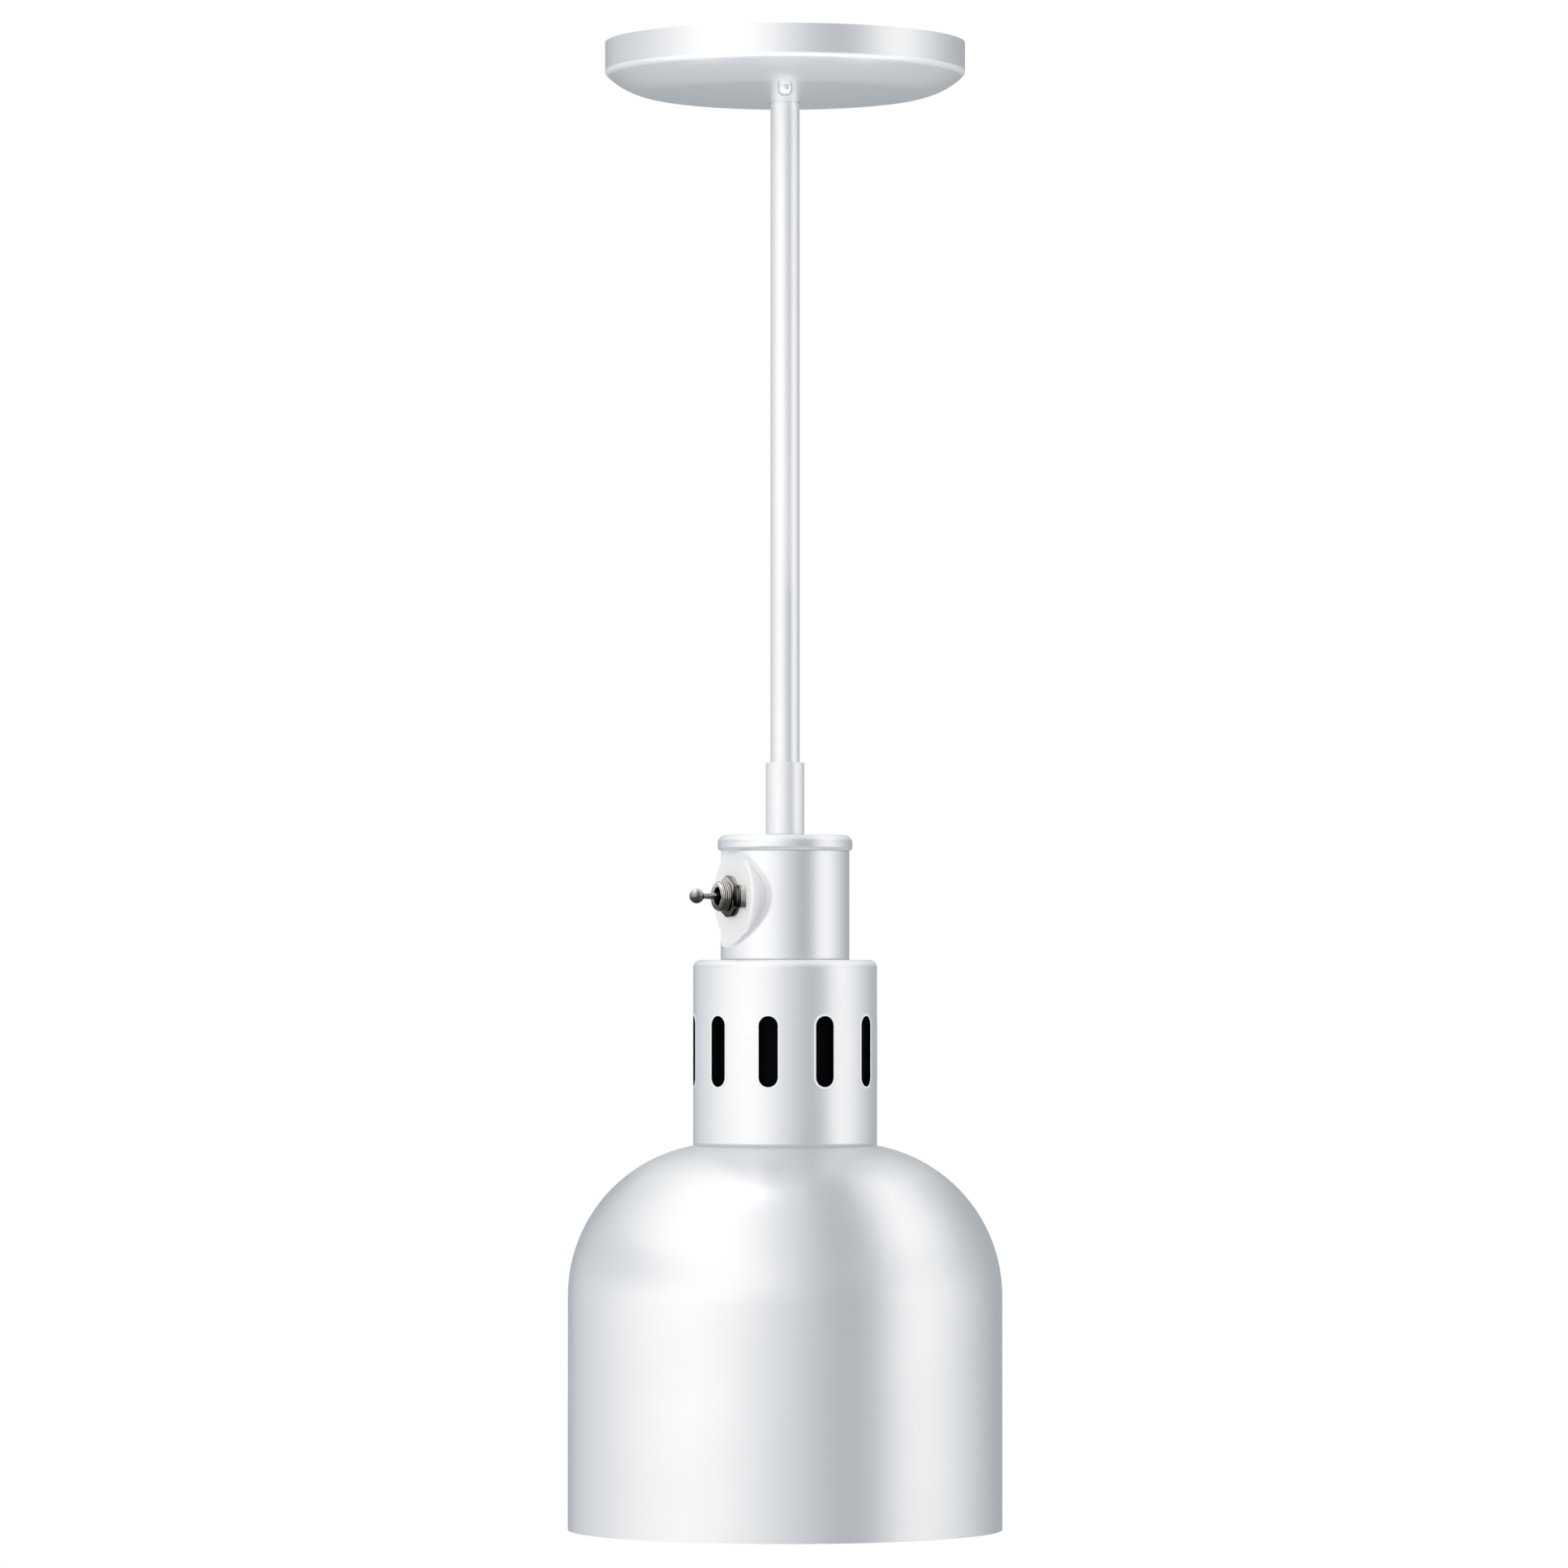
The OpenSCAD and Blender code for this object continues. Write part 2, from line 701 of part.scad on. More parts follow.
module housing_nipple() {
    color(steel)
        rotate_extrude()
            polygon(concat([[nipple_bore_r, nipple_top], [thread_r - thread_depth, nipple_top]],
                ridges(thread_r, thread_depth, nipple_top - thread_lead, nipple_bottom + thread_lead,
                    thread_pitch),
                [[thread_r - thread_depth, nipple_bottom], [nipple_bore_r, nipple_bottom]]));
}

// ---- Switch housing ----

module housing_cap() {
    rim_r = cap_rim_d / 2;
    bore = thread_r + screw_gap;
    skirt_r = housing_in_r - press_gap;
    inner = skirt_r - cap_wall;
    color(silver_paint) {
        rotate_extrude()
            difference() {
                union() {
                    translate([bore, housing_top])
                        square([rim_r - cap_low_edge_r - bore, cap_rim_h - cap_top_edge_r]);
                    translate([bore, housing_top + cap_low_edge_r])
                        square([rim_r - bore, cap_rim_h - cap_top_edge_r - cap_low_edge_r]);
                    translate([bore, housing_top + cap_low_edge_r])
                        square([rim_r - cap_top_edge_r - bore, cap_rim_h - cap_low_edge_r]);
                    translate([rim_r - cap_low_edge_r, housing_top + cap_low_edge_r])
                        circle(cap_low_edge_r);
                    translate([rim_r - cap_top_edge_r, cap_top - cap_top_edge_r])
                        circle(cap_top_edge_r);
                }
                translate([0, housing_top - cut])
                    square([inner, cut + cap_rim_h - cap_wall]);
            }
        difference() {
            ring(skirt_r, inner, housing_top + cut, housing_top - cap_skirt_h);
            at_switch()
                cylinder(h = housing_r * 2, r = pad_d / 2 + housing_wall + press_gap);
        }
    }
}

module cap_lock_washer() {
    color(steel)
        translate([0, 0, cap_top - cap_wall - washer_t])
            lock_washer(thread_r + screw_gap, washer_r, washer_t);
}

module cap_lock_nut() {
    color(steel)
        translate([0, 0, cap_top - cap_wall - washer_t - stem_nut_h])
            hex_nut(stem_nut_af, stem_nut_h, thread_r + thread_fit);
}

// The tube has a round flat pressed into it for the switch. The flat's sides stand out of the
// tube, its bottom lies inside the tube's curve, and its top runs out at the tube's top edge.
module switch_housing() {
    pad_r = pad_d / 2;
    pad_root_r = pad_r + pad_flare;
    pad_root = sqrt(pow(housing_r, 2) - pow(pad_root_r, 2));
    dish_depth = housing_r - pad_reach;
    color(silver_paint) difference() {
        union() {
            difference() {
                translate([0, 0, housing_bottom])
                    cylinder(h = housing_len, r = housing_r, $fn = 128);
                at_switch()
                    translate([0, 0, pad_reach]) {
                        cylinder(h = dish_depth, r1 = pad_r, r2 = pad_r + pad_dish);
                        translate([0, 0, dish_depth])
                            cylinder(h = housing_r, r = pad_r + pad_dish);
                    }
            }
            intersection() {
                at_switch() rotate_extrude() {
                    polygon([[0, 0], [pad_root_r, 0], [pad_root_r, pad_root],
                             [pad_r, pad_reach - pad_edge_r], [0, pad_reach - pad_edge_r]]);
                    square([pad_r - pad_edge_r, pad_reach]);
                    translate([pad_r - pad_edge_r, pad_reach - pad_edge_r])
                        circle(pad_edge_r);
                }
                translate([0, 0, housing_bottom])
                    cylinder(h = housing_len, r = housing_d, $fn = 128);
            }
        }
        difference() {
            translate([0, 0, housing_bottom - cut])
                cylinder(h = housing_len + 2 * cut, r = housing_in_r, $fn = 128);
            at_switch()
                translate([0, 0, pad_in])
                    cylinder(h = housing_r, r = pad_r + housing_wall);
        }
        at_switch()
            cylinder(h = pad_in, r = pad_r - housing_wall);
        at_switch()
            cylinder(h = housing_r * 2, r = bushing_d / 2 + screw_gap);
    }
}

module housing_base_ring() {
    color(steel) difference() {
        ring(base_ring_r, base_ring_r - base_ring_w, housing_bottom + base_ring_h, housing_bottom);
        around(joint_screw_turns, joint_screw_ring)
            translate([0, 0, housing_bottom - cut])
                cylinder(h = base_ring_h + 2 * cut, r = joint_screw_d / 2 + thread_fit);
        around([ground_turn], joint_screw_ring)
            translate([0, 0, housing_bottom - cut])
                cylinder(h = base_ring_h + 2 * cut, r = joint_screw_d / 2 + thread_fit);
    }
}

// The housing's earth screw, head up on the base ring.
module housing_ground_screw() {
    color("#2f8f4e")
        around([ground_turn], joint_screw_ring)
            translate([0, 0, housing_bottom + base_ring_h])
                rotate([180, 0, 0])
                    pan_screw(joint_screw_d / 2, base_ring_h - screw_spare, head_r, head_h);
}

// ---- Toggle switch ----

module switch_body() {
    hole = [terminal_w + 2 * press_gap, terminal_t + 2 * press_gap, body_floor + 2 * cut];
    color("#3a2c24") at_switch() difference() {
        translate([-body_w / 2, -body_len / 2, body_bottom])
            cube([body_w, body_len, body_h]);
        translate([-cavity_w / 2, -cavity_len / 2, body_bottom + body_floor])
            cube([cavity_w, cavity_len, body_h]);
        for (y = [0, load_offset])
            translate([0, y, body_bottom + body_floor / 2])
                cube(hole, center = true);
    }
}

// A bent steel strap that holds the body to the bushing.
module switch_frame() {
    wing = 9;
    margin = 2;
    color(nickel) at_switch() difference() {
        union() {
            translate([-body_w / 2 - frame_t, margin - body_len / 2, body_top])
                cube([body_w + 2 * frame_t, body_len - 2 * margin, frame_t]);
            for (side = [-1, 1])
                translate([side > 0 ? body_w / 2 : -body_w / 2 - frame_t, -body_len / 4, body_top - wing])
                    cube([frame_t, body_len / 2, wing]);
        }
        translate([0, 0, body_top - cut])
            cylinder(h = frame_t + 2 * cut, r = bushing_bore_d / 2);
    }
}

module switch_bushing() {
    r = bushing_d / 2;
    bore = bushing_bore_d / 2;
    base = body_top + frame_t;
    tip = pad_reach + bushing_reach;
    thread = ridges(r, bushing_thread_depth, -base - flange_t - thread_lead, bushing_lip - tip,
        bushing_pitch);
    color(nickel) at_switch() difference() {
        rotate_extrude()
            polygon(concat([[bore, base], [flange_r, base]],
                [[flange_r, base + flange_t], [r, base + flange_t]],
                [for (p = thread) [p[0], -p[1]]],
                [[r - bushing_lip, tip], [bore + bushing_lip, tip], [bore, tip - bushing_lip]]));
        translate([-r * 2, 0, pivot_out])
            rotate([0, 90, 0])
                cylinder(h = r * 4, r = pivot_pin_r + pin_fit / 2);
    }
}

module toggle_pivot_pin() {
    half = bushing_d / 2 - bushing_thread_depth - 2 * press_gap;
    color(steel) at_switch()
        translate([-half, 0, pivot_out])
            rotate([0, 90, 0])
                cylinder(h = 2 * half, r = pivot_pin_r);
}

module switch_lock_ring() {
    color(nickel) at_switch()
        translate([0, 0, pad_in - lock_ring_t])
            lock_washer(bushing_d / 2 + screw_gap, lock_ring_r, lock_ring_t);
}

// The keyed washer, with an ear towards one throw of the lever.
module switch_tab_washer() {
    inner = bushing_d / 2 + screw_gap;
    lip = 1.1;
    lip_h = 1.2;
    color(nickel) at_switch() translate([0, 0, pad_reach]) difference() {
        union() {
            cylinder(h = tab_washer_t, r = tab_washer_r);
            translate([-tab_w / 2, 0, 0])
                cube([tab_w, tab_reach, tab_washer_t]);
            translate([-tab_w / 2, tab_reach - lip, 0])
                cube([tab_w, lip, tab_washer_t + lip_h]);
        }
        translate([0, 0, -cut])
            cylinder(h = tab_washer_t + 2 * cut, r = inner);
    }
}

module switch_hex_nut() {
    color(nickel) at_switch()
        translate([0, 0, pad_reach + tab_washer_t])
            hex_nut(face_nut_af, face_nut_h, bushing_d / 2 + thread_fit);
}

// The lever leans by lever_throw, towards the right of someone who faces the switch.
module toggle_lever() {
    root = pivot_ball_r * 0.7;
    color(nickel) at_switch()
        translate([0, 0, pivot_out])
            rotate([-lever_throw, 0, 0])
                difference() {
                    union() {
                        sphere(pivot_ball_r);
                        translate([0, 0, root])
                            cylinder(h = lever_len - root, r1 = lever_root_r, r2 = lever_neck_r);
                        translate([0, 0, lever_len])
                            sphere(lever_ball_d / 2);
                        translate([0, 0, -lever_arm])
                            cylinder(h = lever_arm, r = lever_tip_r);
                        translate([0, 0, -lever_arm])
                            sphere(lever_tip_r);
                    }
                    translate([-pivot_ball_r * 2, 0, 0])
                        rotate([0, 90, 0])
                            cylinder(h = pivot_ball_r * 4, r = pivot_pin_r + pin_fit);
                }
}

// The see-saw contact under the lever's tip. It leans the other way.
module contact_rocker() {
    half = rocker_len / 2;
    color(brass) at_switch()
        translate([0, 0, rocker_axis])
            rotate([rocker_tilt, 0, 0])
                difference() {
                    union() {
                        translate([-rocker_w / 2, -half, run_gap])
                            cube([rocker_w, rocker_len, rocker_t - run_gap]);
                        for (side = [-1, 1])
                            translate([0, side * load_offset, -rocker_pad_h])
                                cylinder(h = rocker_pad_h + run_gap * 2, r = contact_pad_r);
                    }
                    translate([-rocker_w, 0, 0])
                        rotate([0, 90, 0])
                            cylinder(h = rocker_w * 2, r = terminal_t / 2 + run_gap);
                }
}

// The common terminal ends in the rounded edge that the rocker tips on.
module switch_common_terminal() {
    color(brass) at_switch() {
        translate([-terminal_w / 2, -terminal_t / 2, body_bottom - terminal_out])
            cube([terminal_w, terminal_t, rocker_axis - body_bottom + terminal_out]);
        translate([-terminal_w / 2, 0, rocker_axis])
            rotate([0, 90, 0])
                cylinder(h = terminal_w, r = terminal_t / 2);
    }
}

// The other terminal ends in a contact pad, square to the rocker's pad when that is down.
module switch_load_terminal() {
    color(brass) at_switch() {
        translate([-terminal_w / 2, load_offset - terminal_t / 2, body_bottom - terminal_out])
            cube([terminal_w, terminal_t, contact_face - contact_pad_t / 2 - body_bottom + terminal_out]);
        translate([0, load_offset, contact_face])
            rotate([-rocker_tilt, 0, 0])
                translate([0, 0, -contact_pad_t])
                    cylinder(h = contact_pad_t, r = contact_pad_r);
    }
}

// ---- Sleeve, heat shield and socket ----

module vent_sleeve() {
    color(silver_paint) difference() {
        rotate_extrude($fn = 128)
            difference() {
                union() {
                    translate([0, sleeve_bottom])
                        square([sleeve_r, sleeve_len - sleeve_edge_r]);
                    translate([0, sleeve_bottom])
                        square([sleeve_r - sleeve_edge_r, sleeve_len]);
                    translate([sleeve_r - sleeve_edge_r, sleeve_top - sleeve_edge_r])
                        circle(sleeve_edge_r);
                }
                translate([0, sleeve_bottom - cut])
                    square([sleeve_in_r, sleeve_len - sleeve_edge_r + cut]);
                translate([0, sleeve_bottom - cut])
                    square([sleeve_r - sleeve_edge_r, sleeve_len - sleeve_wall + cut]);
                translate([sleeve_r - sleeve_edge_r, sleeve_top - sleeve_edge_r])
                    circle(sleeve_edge_r - sleeve_wall);
                translate([0, sleeve_bottom])
                    square([well_r, sleeve_len + cut]);
                shoulder_clear();
            }
        around(joint_screw_turns, joint_screw_ring)
            translate([0, 0, sleeve_plate_bottom - cut])
                cylinder(h = sleeve_wall + 2 * cut, r = joint_screw_d / 2 + screw_gap);
        for (i = [0 : slot_count - 1])
            rotate([0, 0, slot_turn + i * 360 / slot_count])
                translate([sleeve_in_r - 2 * cut, 0, sleeve_top - slot_drop])
                    rotate([90, 0, 90])
                        linear_extrude(sleeve_wall + 4 * cut) {
                            square([slot_w, slot_len - slot_w], center = true);
                            for (end = [-1, 1])
                                translate([0, end * (slot_len - slot_w) / 2])
                                    circle(slot_w / 2);
                        }
    }
}

module sleeve_base_ring() {
    color(steel) difference() {
        rotate_extrude()
            difference() {
                translate([carrier_in_r, sleeve_bottom])
                    square([carrier_r - carrier_in_r, carrier_top - sleeve_bottom]);
                shoulder_clear();
            }
        around(shade_screw_turns, shade_screw_ring)
            translate([0, 0, sleeve_bottom - cut])
                cylinder(h = carrier_top - sleeve_bottom + 2 * cut, r = joint_screw_d / 2 + thread_fit);
    }
}

module heat_shield() {
    corner = shield_corner_r;
    inner = corner - shield_wall;
    color(black) difference() {
        rotate_extrude($fn = 96)
            difference() {
                union() {
                    translate([well_r, shield_bottom])
                        square([shield_r - well_r, sleeve_plate_bottom - corner - shield_bottom]);
                    translate([well_r, shield_bottom])
                        square([shield_r - corner - well_r, sleeve_plate_bottom - shield_bottom]);
                    translate([shield_r - corner, sleeve_plate_bottom - corner])
                        circle(corner);
                }
                translate([0, shield_bottom - cut])
                    square([shield_r - shield_wall, bracket_top - inner - shield_bottom + cut]);
                translate([0, shield_bottom - cut])
                    square([shield_r - corner, bracket_top - shield_bottom + cut]);
                translate([shield_r - corner, sleeve_plate_bottom - corner])
                    circle(inner);
            }
        around(joint_screw_turns, joint_screw_ring)
            translate([0, 0, bracket_top - cut])
                cylinder(h = shield_wall + 2 * cut, r = joint_screw_d / 2 + screw_gap);
    }
}

module socket_bracket() {
    color(steel) difference() {
        ring(bracket_r, wire_hole_r, bracket_top, bracket_bottom);
        around(joint_screw_turns, joint_screw_ring)
            translate([0, 0, bracket_bottom - cut])
                cylinder(h = bracket_t + 2 * cut, r = joint_screw_d / 2 + screw_gap);
        around(socket_screw_turns, socket_screw_ring)
            translate([0, 0, bracket_bottom - cut])
                cylinder(h = bracket_t + 2 * cut, r = socket_screw_d / 2 + thread_fit);
    }
}

module bracket_screws() {
    color(steel)
        around(joint_screw_turns, joint_screw_ring)
            translate([0, 0, bracket_bottom])
                pan_screw(joint_screw_d / 2, housing_bottom + base_ring_h - bracket_bottom - screw_spare,
                    head_r, head_h);
}

module socket_body() {
    edge = socket_edge;
    screw_pocket = head_h + 0.6;
    web = well_floor - socket_floor + 2 * cut;
    color(porcelain) difference() {
        rotate_extrude()
            polygon([[0, socket_top], [socket_r - edge, socket_top], [socket_r, socket_top - edge],
                [socket_r, socket_bottom + edge], [socket_r - edge, socket_bottom], [0, socket_bottom]]);
        translate([0, 0, socket_bottom - cut])
            cylinder(h = socket_bore_h + cut, r = socket_bore_r);
        translate([0, 0, well_floor])
            cylinder(h = well_h + cut, r = well_r);
        around(joint_screw_turns, joint_screw_ring)
            translate([0, 0, socket_top - screw_pocket])
                cylinder(h = screw_pocket + cut, r = head_r + screw_spare);
        around(socket_screw_turns, socket_screw_ring) {
            translate([0, 0, socket_bottom - cut])
                cylinder(h = socket_h + 2 * cut, r = socket_screw_d / 2 + screw_gap);
            translate([0, 0, socket_bottom - cut])
                cylinder(h = socket_screw_pocket + cut, r = socket_screw_head_r + screw_gap);
        }
        translate([0, 0, socket_floor - cut])
            cylinder(h = web, r = rivet_r + press_gap);
        rotate([0, 0, strap_turn])
            translate([strap_at - strip_t / 2 - press_gap, -strip_w / 2 - press_gap, socket_floor - cut])
                cube([strip_t + 2 * press_gap, strip_w + 2 * press_gap, web]);
    }
}

// The threaded shell that the lamp screws into.
module socket_screw_shell() {
    top = socket_floor - strip_t - press_gap;
    bottom = socket_bottom + 0.4;
    plain = 1;
    root = shell_in_r + shell_wall;
    wave = ridges(shell_out_r, shell_wave, top - plain, bottom + plain, base_pitch);
    color(brass)
        rotate_extrude()
            polygon(concat([[root, top]], wave, [[root, bottom], [shell_in_r, bottom]],
                [for (p = reversed(wave)) [p[0] - shell_wall, p[1]]],
                [[shell_in_r, top]]));
}

// The centre contact: a rivet through the porcelain, a strip to its terminal in the well and a
// springy tongue below.
module socket_centre_contact() {
    back = strip_w / 2;
    color(brass) {
        rotate([0, 0, strap_turn + 180]) {
            translate([-back, -strip_w / 2, well_floor])
                cube([terminal_at + post_w / 2 + back, strip_w, strip_t]);
            translate([terminal_at, 0, well_floor + strip_t])
                terminal_post();
        }
        translate([0, 0, socket_floor - strip_t])
            cylinder(h = well_floor - socket_floor + 1.9 * strip_t, r = rivet_r);
        translate([0, 0, socket_floor - strip_t])
            cylinder(h = strip_t, r = tongue_r);
        translate([0, 0, socket_floor - strip_t - contact_drop])
            cylinder(h = contact_drop + press_gap, r1 = tongue_r / 2, r2 = tongue_r * 0.8);
    }
}

// The shell's own strap: up through the porcelain to the other terminal.
module socket_shell_strap() {
    color(brass) rotate([0, 0, strap_turn]) {
        translate([strap_at - strip_t / 2, -strip_w / 2, socket_floor - strip_t])
            cube([strip_t, strip_w, well_floor - socket_floor + 2 * strip_t]);
        translate([strap_at - strip_t / 2, -strip_w / 2, socket_floor - strip_t])
            cube([shell_in_r - strap_at, strip_w, strip_t]);
        translate([terminal_at - post_w / 2, -strip_w / 2, well_floor])
            cube([strap_at - terminal_at + post_w / 2, strip_w, strip_t]);
        translate([terminal_at, 0, well_floor + strip_t])
            terminal_post();
    }
}

// A brass block with a tapped hole in its top, for a terminal screw.
module terminal_post() {
    difference() {
        translate([-post_w / 2, -post_w / 2, -press_gap])
            cube([post_w, post_w, post_h + press_gap]);
        cylinder(h = post_h + cut, r = terminal_screw_r + thread_fit);
    }
}

module socket_terminal_screws() {
    color(steel)
        around([strap_turn, strap_turn + 180], terminal_at)
            translate([0, 0, well_floor + strip_t + post_h])
                rotate([180, 0, 0])
                    pan_screw(terminal_screw_r, post_h - screw_spare, post_w / 2, terminal_screw_r);
}

module socket_screws() {
    seat = socket_bottom + socket_screw_pocket;
    color(steel)
        around(socket_screw_turns, socket_screw_ring)
            translate([0, 0, seat])
                pan_screw(socket_screw_d / 2, bracket_top - seat, socket_screw_head_r, socket_screw_head_h);
}

// ---- Shade ----

// The filled half section of the shade, drawn in by inset.
module shade_section(inset) {
    r = shoulder_r - inset;
    intersection() {
        translate([shoulder_x, shoulder_z])
            circle(r);
        translate([0, shoulder_z - r])
            square([shade_r, 2 * r]);
    }
    translate([0, shoulder_z - cut])
        square([shoulder_x, r + cut]);
    translate([0, rim_z - inset])
        square([shade_r - inset, shoulder_z - rim_z + inset]);
}

// What the pieces on the shade's shoulder leave clear of it.
module shoulder_clear() {
    translate([shoulder_x, shoulder_z])
        intersection() {
            circle(shoulder_r + seat_gap);
            square(shoulder_r * 2);
        }
}

module shade() {
    color(silver_paint) difference() {
        rotate_extrude($fn = 128)
            difference() {
                shade_section(0);
                shade_section(shade_wall);
                translate([0, rim_z])
                    square([carrier_in_r + seat_gap, shade_h * 2]);
            }
        around(shade_screw_turns, shade_screw_ring)
            translate([0, 0, shade_head_top - cut])
                cylinder(h = shade_wall + 4 * cut, r = joint_screw_d / 2 + screw_gap);
    }
}

module shade_screws() {
    color(steel)
        around(shade_screw_turns, shade_screw_ring)
            translate([0, 0, shade_head_top])
                pan_screw(joint_screw_d / 2, carrier_top - shade_head_top - screw_spare,
                    shade_screw_head_r, head_h);
}

// ---- Lamp ----

// Outline of the glass from the neck down to the face, drawn in by inset.
function glass_outline(inset, steps) = concat(
    curve([neck_r - inset, neck_bottom], [neck_r - inset, neck_bottom - 20],
        [lamp_r - 2 - inset, lamp_widest + 40], [lamp_r - inset, lamp_widest], steps));

function face_outline(inset, steps) =
    curve([lamp_r - inset, lamp_widest], [lamp_r - inset, lamp_widest - 17],
        [lamp_r * 0.72, lamp_face + inset], [0, lamp_face + inset], steps);

module lamp_envelope() {
    out = concat([[tuck_r, tuck_top], [tuck_r, base_shell_bottom - 0.1]],
        curve([tuck_r + 1.2, base_shell_bottom - 0.1], [tuck_r + 2, base_shell_bottom - 5],
            [neck_r, neck_top + 3], [neck_r, neck_top], 8),
        glass_outline(0, 22), face_outline(0, 16));
    in = concat([[tuck_r - glass_t, tuck_top], [tuck_r - glass_t, base_shell_bottom - 1]],
        curve([tuck_r, base_shell_bottom - 1], [tuck_r + 1, base_shell_bottom - 5],
            [neck_r - glass_t, neck_top + 3], [neck_r - glass_t, neck_top], 8),
        glass_outline(glass_t, 22), face_outline(glass_t, 16));
    color("#e8ecef", 0.6)
        rotate_extrude($fn = 96)
            polygon(concat(out, reversed(in)));
}

module lamp_reflector_coating() {
    out = glass_outline(glass_t + coating_gap, 22);
    in = glass_outline(glass_t + coating_gap + coating_t, 22);
    color("#d7dadd")
        rotate_extrude($fn = 96)
            polygon(concat(out, reversed(in)));
}

module lamp_base_shell() {
    skirt = 2;
    inner = tuck_r + press_gap;
    ridge = ridges(lamp_base_r, base_thread_depth, base_shell_top, base_shell_bottom + skirt, base_pitch);
    color(brass)
        rotate_extrude()
            polygon(concat([[base_neck_r, base_shell_top]], ridge,
                [[lamp_base_r, base_shell_bottom + skirt / 2], [lamp_base_r, base_shell_bottom],
                [inner, base_shell_bottom], [inner, base_shell_top - base_shell_wall],
                [base_neck_r, base_shell_top - base_shell_wall]]));
}

module lamp_base_insulator() {
    r = base_neck_r - press_gap;
    top = lamp_tip - base_contact_h;
    bottom = base_shell_top - base_shell_wall;
    color(black)
        rotate_extrude()
            polygon([[0, bottom], [r, bottom], [r, base_shell_top + base_thread_depth],
                [base_contact_r * 1.25, top], [0, top]]);
}

module lamp_base_contact() {
    color(steel)
        translate([0, 0, lamp_tip - base_contact_h])
            cylinder(h = base_contact_h, r1 = base_contact_r, r2 = base_contact_r * 0.7);
}

// The glass press that carries the filament's wires, flared out to the neck at its top.
module lamp_mount() {
    flare = [tuck_r - glass_t - press_gap, tuck_top - 2];
    color("#dfe5e8", 0.5)
        rotate_extrude()
            polygon(concat([[0, flare[1]]],
                curve(flare, [press_r * 1.5, flare[1] - press_r], [press_r * 1.1, neck_top],
                    [press_r, press_bottom], 8),
                [[0, press_bottom]]));
}

module lamp_support_wires() {
    color(nickel)
        for (turn = [filament_gap, 105, 180, 255, 360 - filament_gap])
            rod(spun(turn, press_r * 0.6, press_bottom - 2 * press_gap),
                spun(turn, filament_r, filament_z + filament_wire_r + press_gap), support_wire_r);
}

module lamp_filament() {
    color("#6d6a66")
        rotate([0, 0, filament_gap])
            translate([0, 0, filament_z])
                rotate_extrude(angle = 360 - 2 * filament_gap)
                    translate([filament_r, 0])
                        circle(filament_wire_r);
}

// ---- Leads ----

// Where a point of the switch's own frame lies in the part's frame.
function from_switch(x, y, z) =
    [z * cos(switch_turn) - y * sin(switch_turn), z * sin(switch_turn) + y * cos(switch_turn), pad_z - x];

// A lead's point just beside the terminal post at one side of the socket's well.
function beside_post(turn) =
    spun(turn, terminal_at, post_top - lead_r) + spun(turn + 90, post_w / 2 + lead_r + 2 * press_gap, 0);

// The straight run of a lead in the stem.
function in_stem(turn) = [for (z = [lead_top, nipple_bottom / 2, nipple_bottom + 12, nipple_bottom])
    spun(turn, lead_ring, z)];

module lead(route, tint) {
    color(tint) cable(through(route, lead_step), lead_r);
}

module line_lead() {
    lead(concat(in_stem(switch_turn + 60), [
        common_tail + [0, 0, 5],
        common_tail + [0, 0, -2.5]]), black);
}

module switched_lead() {
    post = beside_post(strap_turn + 180);
    lead([
        load_tail + [0, 0, 2.5],
        load_tail + [0, 0, -6],
        spun(strap_turn + 185, 8.5, pad_z - 14),
        [post[0] * 0.7, post[1] * 0.7, bracket_bottom],
        post + [0, 0, 2.5],
        post], "#8a1f1f");
}

module neutral_lead() {
    post = beside_post(strap_turn);
    lead(concat(in_stem(switch_turn - 60), [
        spun(switch_turn - 75, 5, pad_z + 2),
        spun(switch_turn - 80, 6, pad_z - 12),
        [post[0] * 0.7, post[1] * 0.7, bracket_bottom],
        post + [0, 0, 2.5],
        post]), "#e9e9e4");
}

module ground_lead() {
    tail = spun(ground_turn, joint_screw_ring - head_r - lead_r - 2 * press_gap,
        housing_bottom + base_ring_h + lead_r + press_gap);
    lead(concat(in_stem(switch_turn + 180), [
        spun(ground_turn, 5, pad_z + 6),
        spun(ground_turn, 12, pad_z - 3),
        tail + [0, 0, 7],
        tail]), "#2f8f4e");
}

mounting_plate();
plate_ground_screw();
canopy_studs();
stem_top_nut();
stem_top_washer();
stem_jam_nut();
stem_tube();
stem_coupling();
housing_nipple();
housing_cap();
cap_lock_washer();
cap_lock_nut();
switch_housing();
housing_base_ring();
housing_ground_screw();
switch_body();
switch_frame();
switch_bushing();
switch_lock_ring();
switch_tab_washer();
switch_hex_nut();
toggle_pivot_pin();
switch_common_terminal();
switch_load_terminal();
toggle_lever();
contact_rocker();
vent_sleeve();
sleeve_base_ring();
heat_shield();
socket_bracket();
bracket_screws();
socket_body();
socket_screw_shell();
socket_centre_contact();
socket_shell_strap();
socket_screws();
socket_terminal_screws();
shade();
shade_screws();
canopy();
canopy_cap_nuts();
lamp_envelope();
lamp_reflector_coating();
lamp_base_shell();
lamp_base_insulator();
lamp_base_contact();
lamp_mount();
lamp_support_wires();
lamp_filament();
line_lead();
switched_lead();
neutral_lead();
ground_lead();
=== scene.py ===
"""Finishes and photographs a rigid-stem pendant heat lamp.

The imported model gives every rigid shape. This file paints it, adds the painted lips round the
vent slots, and sets the camera and a soft studio round it.
"""

import math
from collections import namedtuple

import bmesh
import bpy
from bpy.props import FloatProperty, FloatVectorProperty, IntProperty, PointerProperty
from mathutils import Matrix, Vector
from mathutils.bvhtree import BVHTree


